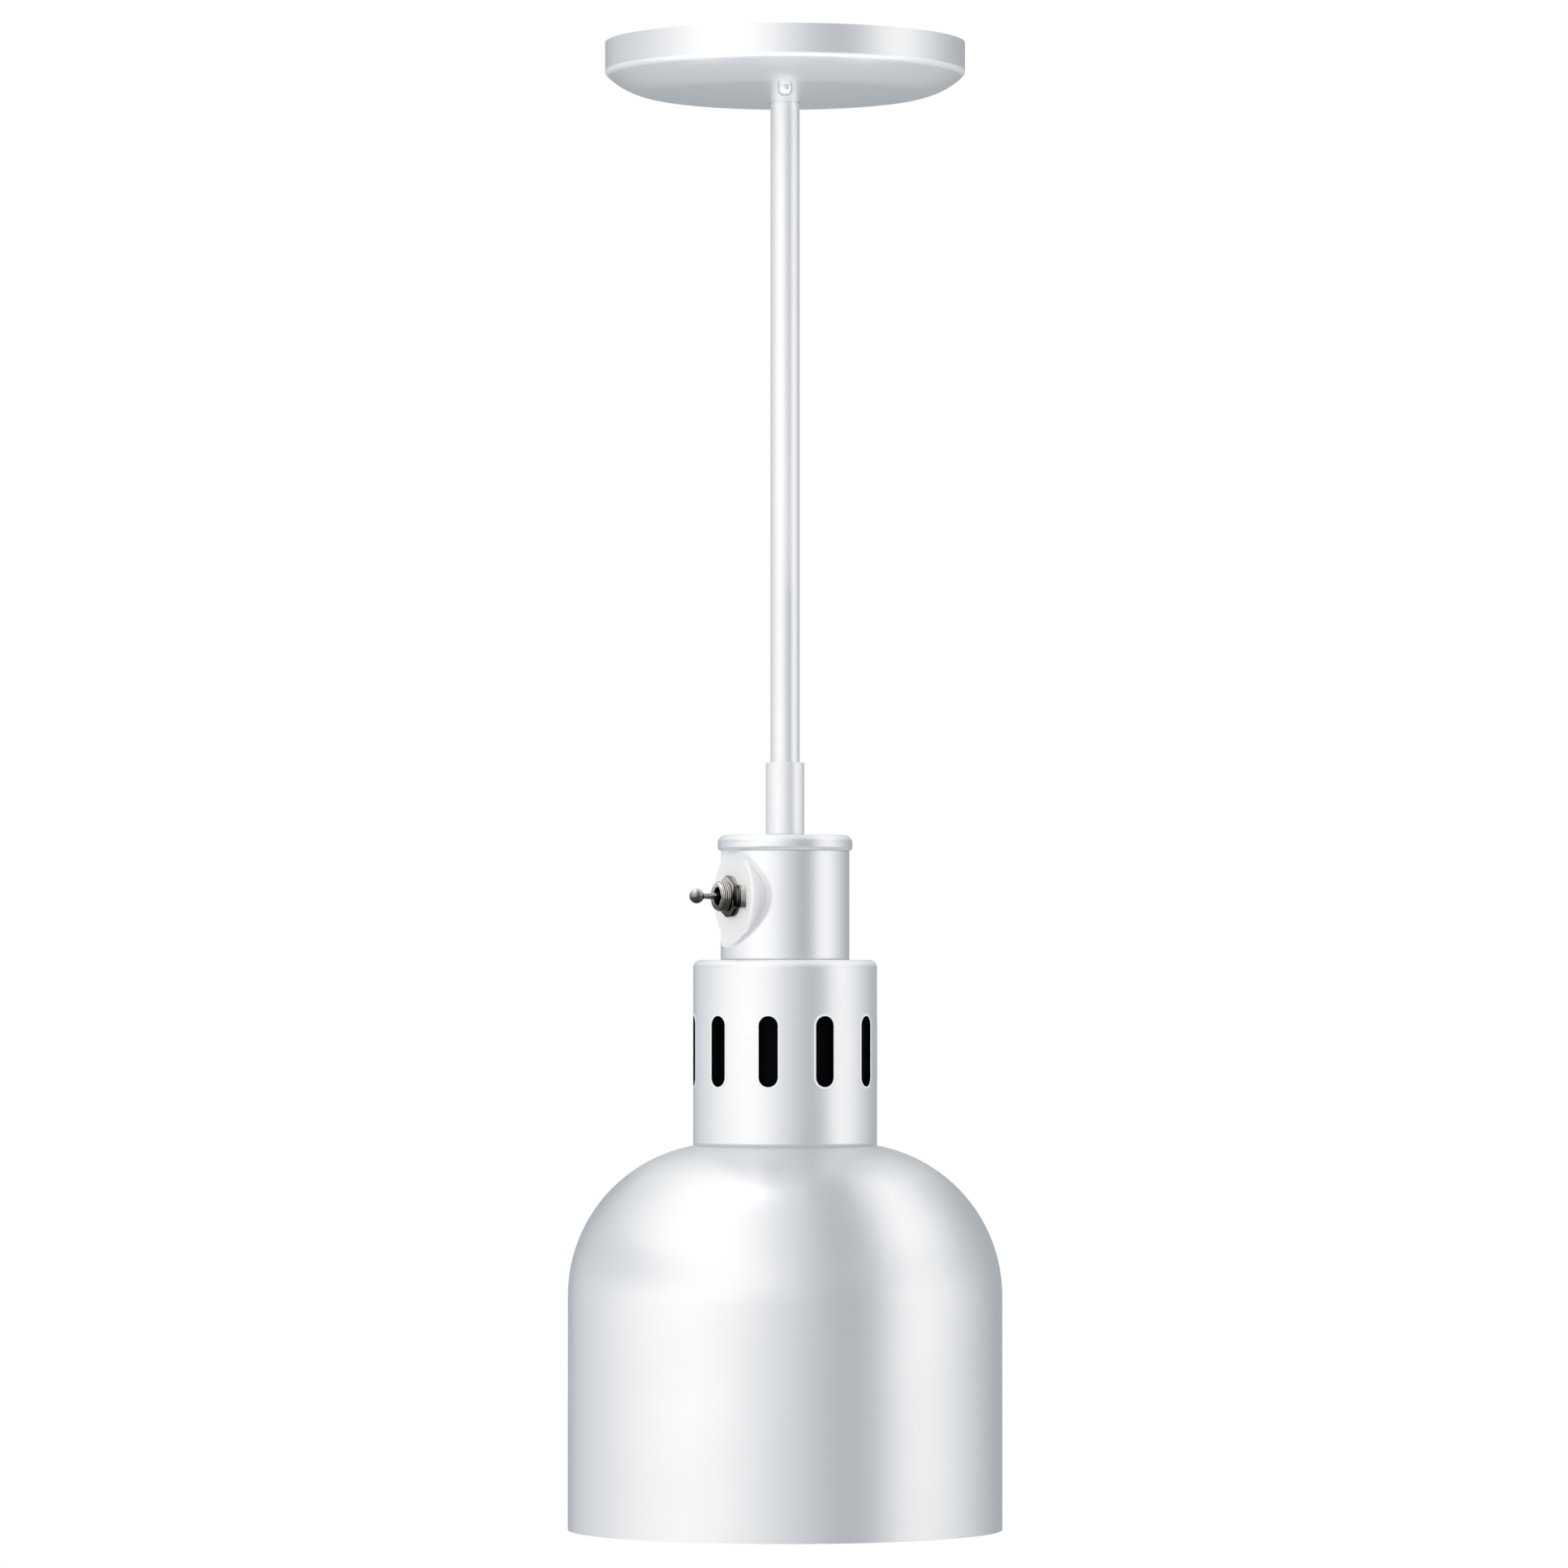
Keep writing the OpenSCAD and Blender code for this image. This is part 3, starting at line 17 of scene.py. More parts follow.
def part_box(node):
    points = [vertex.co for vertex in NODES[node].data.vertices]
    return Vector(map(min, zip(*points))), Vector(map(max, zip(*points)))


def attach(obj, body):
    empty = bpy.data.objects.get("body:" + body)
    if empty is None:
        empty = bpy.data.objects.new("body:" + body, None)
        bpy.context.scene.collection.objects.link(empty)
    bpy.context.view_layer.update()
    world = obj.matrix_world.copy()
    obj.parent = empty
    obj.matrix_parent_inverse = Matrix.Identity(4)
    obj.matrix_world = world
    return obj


bl_info = {
    "name": "Pendant heat lamp",
    "version": (1, 0, 0),
    "blender": (4, 5, 0),
    "location": "3D View > Sidebar > Heat Lamp",
    "description": "Finishes and stages a rigid-stem pendant heat lamp",
    "category": "Object",
}

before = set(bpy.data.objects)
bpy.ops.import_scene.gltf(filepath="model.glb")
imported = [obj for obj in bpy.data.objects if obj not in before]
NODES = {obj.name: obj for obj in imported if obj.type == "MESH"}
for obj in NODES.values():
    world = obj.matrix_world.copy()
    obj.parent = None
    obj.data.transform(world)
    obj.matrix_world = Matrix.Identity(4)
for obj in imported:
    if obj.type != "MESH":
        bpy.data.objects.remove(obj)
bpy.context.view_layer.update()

# ---- Places and sizes on the lamp, in metres ----

CANOPY_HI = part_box("canopy")[1]
CAP_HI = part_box("housing_cap")[1]
SLEEVE_LO, SLEEVE_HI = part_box("vent_sleeve")
SHADE_LO, SHADE_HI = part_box("shade")
GLASS_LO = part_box("lamp_envelope")[0]
LEVER_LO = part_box("toggle_lever")[0]
SLEEVE_R = SLEEVE_HI.x
SHADE_R = SHADE_HI.x
TUBE_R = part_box("switch_housing")[1].x
CREASE_Z = -0.0116  # where the canopy's band turns into its underside

# The switch looks out this far round from +X, from the middle of a flat on the housing's tube.
SWITCH_TURN = math.radians(205.0)
SWITCH_OUT = Vector((math.cos(SWITCH_TURN), math.sin(SWITCH_TURN), 0.0))
SWITCH_Z = sum(corner.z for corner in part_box("switch_hex_nut")) / 2
FLAT_DEPTH, FLAT_R = 0.0026, 0.0202
FLAT_REACH = TUBE_R - FLAT_DEPTH
NUT_FOOT, NUT_TOP = FLAT_REACH + 0.0011, FLAT_REACH + 0.0031

# The corner of the lever's box reaches past the ball's middle by a third more than its radius.
BALL_R = 0.0029
BALL_OUT = LEVER_LO.x * SWITCH_OUT.x + LEVER_LO.y * SWITCH_OUT.y - 1.33 * BALL_R

# ---- Image points, in the photograph scaled to 1568 by 1568 ----

W = H = 1568.0
LONG = max(W, H)
POINTS = {
    "canopy_left": (605.0, None),
    "canopy_right": (965.2, None),
    "canopy_top": (None, 22.7),
    "cap_nut": (785.2, 90.1),
    "coupling_top": (784.8, 763.7),
    "cap_top": (None, 835.9),
    "toggle_ball": (696.9, 895.3),
    "sleeve_top": (None, 960.9),
    "sleeve_bottom": (None, 1148.0),
    "lip_1_top": (718.0, 1015.7),
    "lip_2_top": (769.0, 1015.7),
    "lip_3_top": (825.3, 1015.7),
    "lip_4_top": (865.6, 1015.7),
    "shade_left": (568.6, None),
    "shade_right": (1001.6, None),
    "shade_bottom": (None, 1542.8),
}


# ---- What a user would change ----


def length(name, text, default):
    return FloatProperty(
        name=name, description=text, default=default, min=0.0, unit="LENGTH", precision=5
    )


def position(name, text, default):
    return FloatProperty(name=name, description=text, default=default, unit="LENGTH", precision=5)


def amount(name, text, default, top=1.0):
    return FloatProperty(
        name=name, description=text, default=default, min=0.0, max=top, subtype="FACTOR"
    )


def power(name, text, default):
    return FloatProperty(name=name, description=text, default=default, min=0.0, unit="POWER")


def colour(name, text, default):
    return FloatVectorProperty(
        name=name, description=text, default=default, size=3, min=0.0, max=2.0, subtype="COLOR"
    )


class CameraValues(bpy.types.PropertyGroup):
    """The camera that the image points give."""

    distance: length("Distance", "From the lamp's axis to the camera", 3.27)
    height: position("Height", "Height of the camera", -0.3675)
    aim_x: position("Aim across", "Where the camera aims, across", -0.00042)
    aim_z: position("Aim height", "Where the camera aims on the axis", -0.29333)
    lens: FloatProperty(
        name="Lens", description="Focal length", default=190.08, min=1.0, unit="CAMERA"
    )


class EnamelValues(bpy.types.PropertyGroup):
    """The silver enamel on the shells and the stem."""

    tint: colour("Enamel", "Colour of the silver enamel", (0.905, 0.915, 0.93))
    inside_tint: colour("Inside", "Bare spun aluminium inside the shade", (0.72, 0.73, 0.74))
    roughness: amount("Roughness", "How dull the enamel is", 0.30)
    metal: amount("Metal in the enamel", "How metallic the shells' enamel is", 0.78)
    stem_metal: amount("Metal on the stem", "How metallic the stem's heavier enamel is", 0.60)
    coupling_metal: amount(
        "Metal on the coupling", "How metallic the coupling's thicker enamel is", 0.45
    )
    sleeve_metal: amount("Metal on the sleeve", "How metallic the sleeve's enamel is", 0.68)
    # Pale enamel: painted highlights on the crease, the top edges and the slots' lips, and on the
    # switch's flat, a thicker diffuse coat with a painted highlight.
    highlight_enamel_tint: colour(
        "Flat and lips", "Thick enamel on the switch's flat and the slots' lips",
        (0.975, 0.98, 0.985),
    )
    # Painted shade on the low side of the switch's flat and along the sleeve's foot.
    side_shade_tint: colour(
        "Flat's side", "Thin enamel low on the side of the switch's flat", (0.61, 0.625, 0.65)
    )
    flat_metal: amount("Metal on the flat", "How metallic the thick enamel is", 0.12)
    # Painted shade in the joints between the shells.
    joint_shade_tint: colour("Joint line", "Dirt in the joints between the shells", (0.40, 0.415, 0.435))
    coat: amount("Clear coat", "How much clear coat lies on the enamel", 0.25)
    # Painted shade: black on the sleeve's inside and the slots' cut walls.
    sleeve_inside_shade: colour("Sleeve inside", "The sleeve's blackened inside", (0.004, 0.004, 0.005))
    # The top of the shade's shoulder is duller, as under dust, and darker with painted shade.
    dust_and_shade: amount("Dust", "How much duller the top of the shade's shoulder is", 0.22)
    dust_and_shade_tint: colour("Dusty enamel", "Enamel under the shoulder's dust", (0.78, 0.795, 0.81))
    flake: length("Flake", "Size of the enamel's fine grain", 0.0006)
    peel: length("Peel", "Width of the enamel's soft ripples", 0.004)
    spin: length("Spinning lines", "Spacing of the faint spinning lines", 0.0018)


class MetalValues(bpy.types.PropertyGroup):
    """The plated and plain metals."""

    nickel: colour("Nickel", "Nickel plate on the switch", (0.43, 0.405, 0.375))
    # Painted light on the switch's nickel: a painted highlight on top, and painted shade
    # underneath and in its hollows.
    nickel_highlight: colour("Rubbed nickel", "Where fingers keep the nickel bright", (0.80, 0.78, 0.75))
    nickel_shade: colour("Grime", "Where the switch's nickel is dark", (0.035, 0.030, 0.027))
    bushing_r: length("Bushing", "Radius of the switch's threaded bushing", 0.0059)
    bushing_out: length("Bushing's end", "From the lamp's axis to the bushing's end", 0.0299)
    mouth_r: length("Mouth", "Radius of the bushing's mouth", 0.0035)
    nut_r: length("Face nut", "From the face nut's axis to its flats", 0.00715)
    zinc: colour("Zinc", "Bright zinc plate", (0.62, 0.63, 0.64))
    green: colour("Green zinc", "Green dyed zinc on the ground screws", (0.03, 0.30, 0.10))
    brass: colour("Brass", "Contacts and socket shell", (0.72, 0.53, 0.24))
    tarnish: colour("Tarnish", "Where the brass has dulled", (0.45, 0.31, 0.13))
    cap: colour("Lamp cap", "Nickelled cap of the lamp", (0.70, 0.65, 0.55))
    tungsten: colour("Tungsten", "Filament and its supports", (0.25, 0.24, 0.23))


class BodyValues(bpy.types.PropertyGroup):
    """The black, ceramic, moulded and glass finishes."""

    shield: colour("Heat shield", "Matt black heat-resistant paint", (0.0022, 0.0030, 0.0036))
    porcelain: colour("Porcelain", "Glazed socket body", (0.86, 0.845, 0.79))
    phenolic: colour("Moulding", "Brown phenolic of the switch", (0.055, 0.030, 0.020))
    vitrite: colour("Vitrite", "Black glass of the lamp's cap", (0.010, 0.008, 0.016))
    glass: colour("Glass", "Lamp glass", (0.93, 0.95, 0.955))
    silvering: colour("Silvering", "Aluminium mirror inside the lamp", (0.88, 0.885, 0.89))
    frost: length("Frost", "Size of the face's stipple", 0.0022)


class WireValues(bpy.types.PropertyGroup):
    """The high-temperature leads."""

    line: colour("Line", "Line lead", (0.022, 0.022, 0.024))
    switched: colour("Switched", "Switched lead", (0.38, 0.030, 0.025))
    neutral: colour("Neutral", "Neutral lead", (0.80, 0.79, 0.74))
    ground: colour("Ground", "Ground lead", (0.035, 0.30, 0.10))
    weave: length("Weave", "Pitch of the braided sleeving", 0.0011)


class DetailValues(bpy.types.PropertyGroup):
    """The small pieces that the scene adds."""

    lip_width: length("Slot lip", "Width of the painted lip round each vent slot", 0.0009)
    lip_height: length("Lip height", "How far the lip stands from the sleeve", 0.00012)
    slot_width: length("Slot width", "Width of each vent slot", 0.0077)
    slot_length: length("Slot length", "Length of each vent slot", 0.0278)
    slot_count: IntProperty(
        name="Slots", description="Vent slots round the sleeve", default=10, min=1, max=24
    )


class StageValues(bpy.types.PropertyGroup):
    """The floor, the walls and the lamps."""

    floor_z: position("Floor", "Height of the floor", -1.15)
    floor_tint: colour("Floor colour", "Plain pale floor", (0.83, 0.83, 0.825))
    wall_r: length("Wall distance", "Distance of the reflecting wall", 4.0)
    back: amount("Back level", "Level of the paper behind the lamp", 0.38, 2.0)
    top: amount("Top level", "Level of the paper far above the lamp", 1.15, 2.0)
    crease: amount("Crease card", "Level of the paper below the canopy", 1.35, 3.0)
    highlight: amount("Highlight", "Level of the card above the lamp", 1.6, 3.0)
    ambient: amount("Ambient", "Level of the plain soft light", 0.85, 2.0)
    key: power("Key", "Power of the key lamp", 11.0)
    fill: power("Fill", "Power of the fill lamp", 4.0)


VALUE_GROUPS = {
    "heat_lamp_camera": CameraValues,
    "heat_lamp_enamel": EnamelValues,
    "heat_lamp_metal": MetalValues,
    "heat_lamp_body": BodyValues,
    "heat_lamp_wire": WireValues,
    "heat_lamp_detail": DetailValues,
    "heat_lamp_stage": StageValues,
}


# ---- Shader helpers ----

WHITE = (1.0, 1.0, 1.0, 1.0)
VECTOR, FLOAT = "NodeSocketVector", "NodeSocketFloat"


def rgba(tint):
    return (*tint, 1.0)


def scaled(tint, by):
    return tuple(min(1.0, part * by) for part in tint)


def add(tree, kind, inputs=None, **settings):
    """A node with its settings, then its inputs: a socket is linked and a value is set."""
    made = tree.nodes.new(kind)
    for key, value in settings.items():
        setattr(made, key, value)
    for key, value in (inputs or {}).items():
        if isinstance(value, bpy.types.NodeSocket):
            tree.links.new(value, made.inputs[key])
        else:
            made.inputs[key].default_value = value
    return made


def maths(tree, operation, a, b=0.0):
    return add(tree, "ShaderNodeMath", {0: a, 1: b}, operation=operation).outputs[0]


def plus(tree, a, b):
    return maths(tree, "ADD", a, b)


def minus(tree, a, b):
    return maths(tree, "SUBTRACT", a, b)


def times(tree, a, b):
    return maths(tree, "MULTIPLY", a, b)


def divided(tree, a, b):
    return maths(tree, "DIVIDE", a, b)


def weighed(tree, a, share_a, b, share_b):
    """The sum of two values, each times its share."""
    return plus(tree, times(tree, a, share_a), times(tree, b, share_b))


def span(tree, value, low, high, out_low=0.0, out_high=1.0, smooth=True):
    """value from low to high, turned into out_low to out_high."""
    return add(
        tree, "ShaderNodeMapRange",
        {"Value": value, "From Min": low, "From Max": high, "To Min": out_low, "To Max": out_high},
        interpolation_type="SMOOTHSTEP" if smooth else "LINEAR",
    ).outputs["Result"]


def faded(tree, mask, value, other):
    """A number that turns into another inside a mask, or stays plain where they are the same."""
    if value == other:
        return value
    return span(tree, mask, 0.0, 1.0, value, other, smooth=False)


def blend_colour(tree, factor, a, b):
    return add(tree, "ShaderNodeMix", {0: factor, 6: a, 7: b}, data_type="RGBA").outputs[2]


def noise(tree, vector, scale, detail=2.0, roughness=0.5):
    return add(
        tree, "ShaderNodeTexNoise",
        {"Vector": vector, "Scale": scale, "Detail": detail, "Roughness": roughness},
    ).outputs[0]


def ramp(tree, value, stops):
    made = add(tree, "ShaderNodeValToRGB", {0: value})
    points = made.color_ramp.elements
    while len(points) < len(stops):
        points.new(0.5)
    for point, (place, tint) in zip(points, stops):
        point.position = place
        point.color = rgba(tint)
    return made.outputs[0]


def split(tree, vector):
    return add(tree, "ShaderNodeSeparateXYZ", {0: vector}).outputs


def flat_length(tree, a, b):
    """The length of the flat vector with these two parts."""
    flat = add(tree, "ShaderNodeCombineXYZ", {0: a, 1: b}).outputs[0]
    return add(tree, "ShaderNodeVectorMath", {0: flat}, operation="LENGTH").outputs["Value"]


def from_axis(tree, place):
    """Distance from the lamp's axis."""
    return flat_length(tree, place[0], place[1])


def mix_shaders(tree, factor, a, b):
    return add(tree, "ShaderNodeMixShader", {0: factor, 1: a, 2: b}).outputs[0]


def glow(tree, tint, strength):
    return add(tree, "ShaderNodeEmission", {"Color": tint, "Strength": strength}).outputs[0]


def arrange(tree):
    """Lays the nodes out from left to right, by how far each is from the output."""
    depth = {made: 0 for made in tree.nodes}
    for _ in range(len(tree.nodes)):
        for link in tree.links:
            depth[link.from_node] = max(depth[link.from_node], depth[link.to_node] + 1)
    rows = {}
    for made in tree.nodes:
        rows[depth[made]] = rows.get(depth[made], -1) + 1
        made.location = (-260 * depth[made], -240 * rows[depth[made]])


def blank(name):
    """A new material and its empty tree."""
    material = bpy.data.materials.new(name)
    material.use_nodes = True
    material.node_tree.nodes.clear()
    return material, material.node_tree


def show(tree, shader, kind="ShaderNodeOutputMaterial"):
    """Sends a shader to the tree's output."""
    tree.links.new(shader, tree.nodes.new(kind).inputs["Surface"])
    arrange(tree)


# ---- Effects that several materials share ----


def effect(name, inputs, outputs):
    """A new shader node group: its tree, what it is given and what it puts out."""
    tree = bpy.data.node_groups.new(name, "ShaderNodeTree")
    for label, kind, default in inputs:
        socket = tree.interface.new_socket(name=label, in_out="INPUT", socket_type=kind)
        if default is not None:
            socket.default_value = default
    for label in outputs:
        tree.interface.new_socket(name=label, in_out="OUTPUT", socket_type=FLOAT)
    given = tree.nodes.new("NodeGroupInput").outputs
    return tree, given, tree.nodes.new("NodeGroupOutput").inputs


def close(tree, out, **values):
    """Sends each value to the group's output of that name."""
    for name, value in values.items():
        tree.links.new(value, out[name])
    arrange(tree)
    return tree


def spun_finish():
    """Fine grain, soft ripples and faint spinning lines of paint on spun metal."""
    tree, given, out = effect(
        "spun_finish",
        [("Vector", VECTOR, None), ("Grain", FLOAT, 0.0006), ("Ripple", FLOAT, 0.004),
         ("Lines", FLOAT, 0.0018)],
        ["Shade", "Dullness", "Height"],
    )
    vector = given["Vector"]
    place = split(tree, vector)
    along = plus(tree, times(tree, from_axis(tree, place), 0.83), place[2])
    grain = noise(tree, vector, divided(tree, 1.0, given["Grain"]), 1.0)
    ripple = noise(tree, vector, divided(tree, 1.0, given["Ripple"]), 2.0, 0.45)
    wander = noise(tree, vector, 35.0, 2.0)
    turned = plus(tree, divided(tree, along, given["Lines"]), times(tree, wander, 0.6))
    line = add(
        tree, "ShaderNodeTexNoise",
        {"W": turned, "Scale": 1.0, "Detail": 3.0, "Roughness": 0.6}, noise_dimensions="1D",
    ).outputs[0]
    height = weighed(tree, ripple, 0.55, line, 0.35)
    cloudy = span(tree, wander, 0.2, 0.8)
    return close(
        tree, out,
        Height=plus(tree, height, times(tree, grain, 0.10)),
        Shade=weighed(tree, cloudy, 0.4, line, 0.6),
        Dullness=weighed(tree, cloudy, 0.25, grain, 0.75),
    )


def worn_plate():
    """Fine scratches, spangle and handling of plated metal."""
    tree, given, out = effect(
        "worn_plate",
        [("Vector", VECTOR, None), ("Scratch", FLOAT, SCRATCH), ("Spangle", FLOAT, SPANGLE)],
        ["Wear", "Dullness", "Height"],
    )
    vector = given["Vector"]
    fine = divided(tree, 1.0, given["Scratch"])
    ways = []
    for turn, scale in (((0.5, 0.3, 0.8), (1.0, 0.12, 1.0)), ((1.1, -0.4, 0.2), (0.1, 1.0, 1.0))):
        laid = add(
            tree, "ShaderNodeMapping", {"Vector": vector, "Rotation": turn, "Scale": scale}
        ).outputs[0]
        ways.append(noise(tree, laid, fine, 3.0, 0.65))
    scratch = maths(tree, "MAXIMUM", *ways)
    cells = add(
        tree, "ShaderNodeTexVoronoi",
        {"Vector": vector, "Scale": divided(tree, 1.0, given["Spangle"]), "Randomness": 1.0},
        feature="SMOOTH_F1",
    ).outputs["Distance"]
    cloud = noise(tree, vector, 180.0, 3.0)
    return close(
        tree, out,
        Wear=span(tree, weighed(tree, cloud, 0.7, cells, 0.5), 0.3, 0.8),
        Dullness=weighed(tree, scratch, 0.6, cloud, 0.4),
        Height=weighed(tree, scratch, 0.75, cells, 0.25),
    )


def speckle():
    """Specks, pits and clouding of fired, moulded and matt-painted bodies."""
    tree, given, out = effect(
        "speckle",
        [("Vector", VECTOR, None), ("Grain", FLOAT, 0.0008), ("Density", FLOAT, 0.1)],
        ["Specks", "Cloud", "Height"],
    )
    vector = given["Vector"]
    size = divided(tree, 1.0, given["Grain"])
    near = add(
        tree, "ShaderNodeTexVoronoi", {"Vector": vector, "Scale": size}
    ).outputs["Distance"]
    cloud = noise(tree, vector, times(tree, size, 0.06), 3.0)
    rough = noise(tree, vector, size, 3.0, 0.6)
    return close(
        tree, out,
        Specks=maths(tree, "LESS_THAN", near, given["Density"]),
        Cloud=cloud,
        Height=weighed(tree, rough, 0.7, cloud, 0.3),
    )


def braid():
    """The crossed weave of a braided lead, along Z."""
    tree, given, out = effect(
        "braid", [("Vector", VECTOR, None), ("Pitch", FLOAT, 0.0011)], ["Thread", "Height"]
    )
    place = split(tree, given["Vector"])
    turns = times(tree, math.tau, divided(tree, 1.0, given["Pitch"]))
    along = times(tree, place[2], turns)
    across = times(tree, plus(tree, place[0], place[1]), turns)
    one = maths(tree, "SINE", plus(tree, along, across))
    two = maths(tree, "SINE", minus(tree, along, across))
    weave = maths(tree, "MAXIMUM", one, two)
    frayed = noise(tree, given["Vector"], 2200.0, 2.0)
    return close(
        tree, out,
        Thread=span(tree, weave, -0.2, 1.0),
        Height=weighed(tree, weave, 0.7, frayed, 0.3),
    )


# Spacing of the scratches and of the spangle in plain plate.
SCRATCH, SPANGLE = 0.0004, 0.003
EFFECT_MAKERS = {"spun": spun_finish, "plate": worn_plate, "speckle": speckle, "braid": braid}
EFFECTS = {}


def use(tree, name, vector, **values):
    """Places one of the effects, which is made the first time that it is asked for."""
    if name not in EFFECTS:
        EFFECTS[name] = EFFECT_MAKERS[name]()
    made = tree.nodes.new("ShaderNodeGroup")
    made.node_tree = EFFECTS[name]
    tree.links.new(vector, made.inputs["Vector"])
    for key, value in values.items():
        made.inputs[key].default_value = value
    return made.outputs


# ---- Materials ----

Patch = namedtuple("Patch", "where tint dullness metal coat")


def start(name):
    """A new material: its tree, its shader, and the coordinates of the object."""
    material, tree = blank(name)
    shader = tree.nodes.new("ShaderNodeBsdfPrincipled")
    show(tree, shader.outputs[0])
    vector = tree.nodes.new("ShaderNodeTexCoord").outputs["Object"]
    return material, tree, shader, vector


def put(tree, value, shader, name):
    """Links a value that changes to the shader's socket, or sets one that is the same all over."""
    if isinstance(value, bpy.types.NodeSocket):
        tree.links.new(value, shader.inputs[name])
    else:
        shader.inputs[name].default_value = value


def bump(tree, shader, height, strength, distance):
    made = add(
        tree, "ShaderNodeBump", {"Height": height, "Strength": strength, "Distance": distance}
    )
    tree.links.new(made.outputs[0], shader.inputs["Normal"])


def finish_tree(material, **constants):
    """Sets what is the same all over on the shader's own sockets."""
    nodes = material.node_tree.nodes
    shader = next(made for made in nodes if made.type == "BSDF_PRINCIPLED")
    for key, value in constants.items():
        shader.inputs[key.replace("_", " ")].default_value = value
    arrange(material.node_tree)
    return material


def enamel(name, values, metal, tint=None, lines=1.0, patches=()):
    """Silver enamel, with patches of painted highlight, painted shade, dust and bare metal."""
    material, tree, shader, vector = start(name)
    tint = values.tint if tint is None else tint
    coat = values.coat
    skin = use(
        tree, "spun", vector, Grain=values.flake, Ripple=values.peel, Lines=values.spin * lines
    )
    tint = blend_colour(tree, skin["Shade"], rgba(tint), rgba(scaled(tint, 0.975)))
    dull = span(
        tree, skin["Dullness"], 0.2, 0.8, values.roughness - 0.02, values.roughness + 0.02
    )
    place = split(tree, vector) if patches else None
    for patch in patches:
        mask = patch.where(tree, place)
        tint = blend_colour(tree, mask, tint, rgba(patch.tint))
        dull = faded(tree, mask, dull, patch.dullness)
        metal = faded(tree, mask, metal, patch.metal)
        coat = faded(tree, mask, coat, patch.coat)
    put(tree, tint, shader, "Base Color")
    put(tree, dull, shader, "Roughness")
    put(tree, metal, shader, "Metallic")
    put(tree, coat, shader, "Coat Weight")
    bump(tree, shader, skin["Height"], strength=0.10, distance=0.00004)
    return finish_tree(material, Coat_Roughness=0.14, Specular_IOR_Level=0.5)


def plated(name, tint, worn, roughness, scratch=SCRATCH, spangle=SPANGLE, strength=0.12,
           metallic=1.0):
    """Plated or plain metal, duller and of another tint where it is worn."""
    material, tree, shader, vector = start(name)
    skin = use(tree, "plate", vector, Scratch=scratch, Spangle=spangle)
    put(tree, blend_colour(tree, skin["Wear"], rgba(tint), rgba(worn)), shader, "Base Color")
    dull = span(tree, skin["Dullness"], 0.25, 0.75, roughness - 0.05, roughness + 0.08)
    put(tree, dull, shader, "Roughness")
    bump(tree, shader, skin["Height"], strength, distance=0.00003)
    return finish_tree(material, Metallic=metallic)


def body_material(name, tint, specks, clouded, roughness, grain, density, strength, **constants):
    """A fired, moulded or matt-painted body, clouded and specked."""
    material, tree, shader, vector = start(name)
    skin = use(tree, "speckle", vector, Grain=grain, Density=density)
    cloud = span(tree, skin["Cloud"], 0.3, 0.7)
    tone = blend_colour(tree, cloud, rgba(tint), rgba(clouded))
    put(tree, blend_colour(tree, skin["Specks"], tone, rgba(specks)), shader, "Base Color")
    dull = span(tree, skin["Cloud"], 0.3, 0.7, roughness - 0.04, roughness + 0.06)
    put(tree, dull, shader, "Roughness")
    bump(tree, shader, skin["Height"], strength, distance=0.00006)
    return finish_tree(material, **constants)


def give(material, *names):
    """These CAD nodes wear the material in every slot."""
    for name in names:
        slots = NODES[name].material_slots
        if not slots:
            NODES[name].data.materials.append(material)
        for held in slots:
            held.material = material


# ---- Where the enamel's patches lie ----


def above(height, fade):
    """A patch above a height, that fades in below it."""
    return lambda tree, place: span(tree, place[2], height - fade, height)


def below(height, fade):
    """A patch below a height, that fades out above it."""
    return lambda tree, place: span(tree, place[2], height + fade, height)


def inside(top, radius):
    """A patch on a shell's inside: below a height, and nearer the lamp's axis than a radius."""

    def where(tree, place):
        low = maths(tree, "LESS_THAN", place[2], top)
        return times(tree, low, maths(tree, "LESS_THAN", from_axis(tree, place), radius))

    return where


def on_crease(tree, place):
    """The canopy's crease between the band and the underside, where a highlight is painted."""
    rise = minus(tree, place[2], CREASE_Z)
    near = times(tree, span(tree, rise, -0.0022, -0.0012), span(tree, rise, 0.0006, 0.0001))
    rim = span(tree, from_axis(tree, place), CANOPY_HI.x - 0.0022, CANOPY_HI.x - 0.001)
    return times(tree, near, rim)


def from_switch(tree, place):
    """From the switch's place: out along its axis, across, up, and how far off that axis."""
    out = plus(tree, times(tree, place[0], SWITCH_OUT.x), times(tree, place[1], SWITCH_OUT.y))
    across = minus(tree, times(tree, place[1], SWITCH_OUT.x), times(tree, place[0], SWITCH_OUT.y))
    up = minus(tree, place[2], SWITCH_Z)
    return out, across, up, flat_length(tree, across, up)


def on_flat(tree, place):
    """The switch's flat and its raised side, which stand clear of the housing's round tube."""
    out, _, _, over = from_switch(tree, place)
    face = times(tree, span(tree, out, FLAT_REACH - 0.0008, FLAT_REACH - 0.0002),
                 maths(tree, "LESS_THAN", over, FLAT_R))
    proud = span(tree, from_axis(tree, place), TUBE_R + 0.00005, TUBE_R + 0.0002)
    side = times(tree, proud, maths(tree, "GREATER_THAN", out, 0.0))
    return maths(tree, "MAXIMUM", face, side)


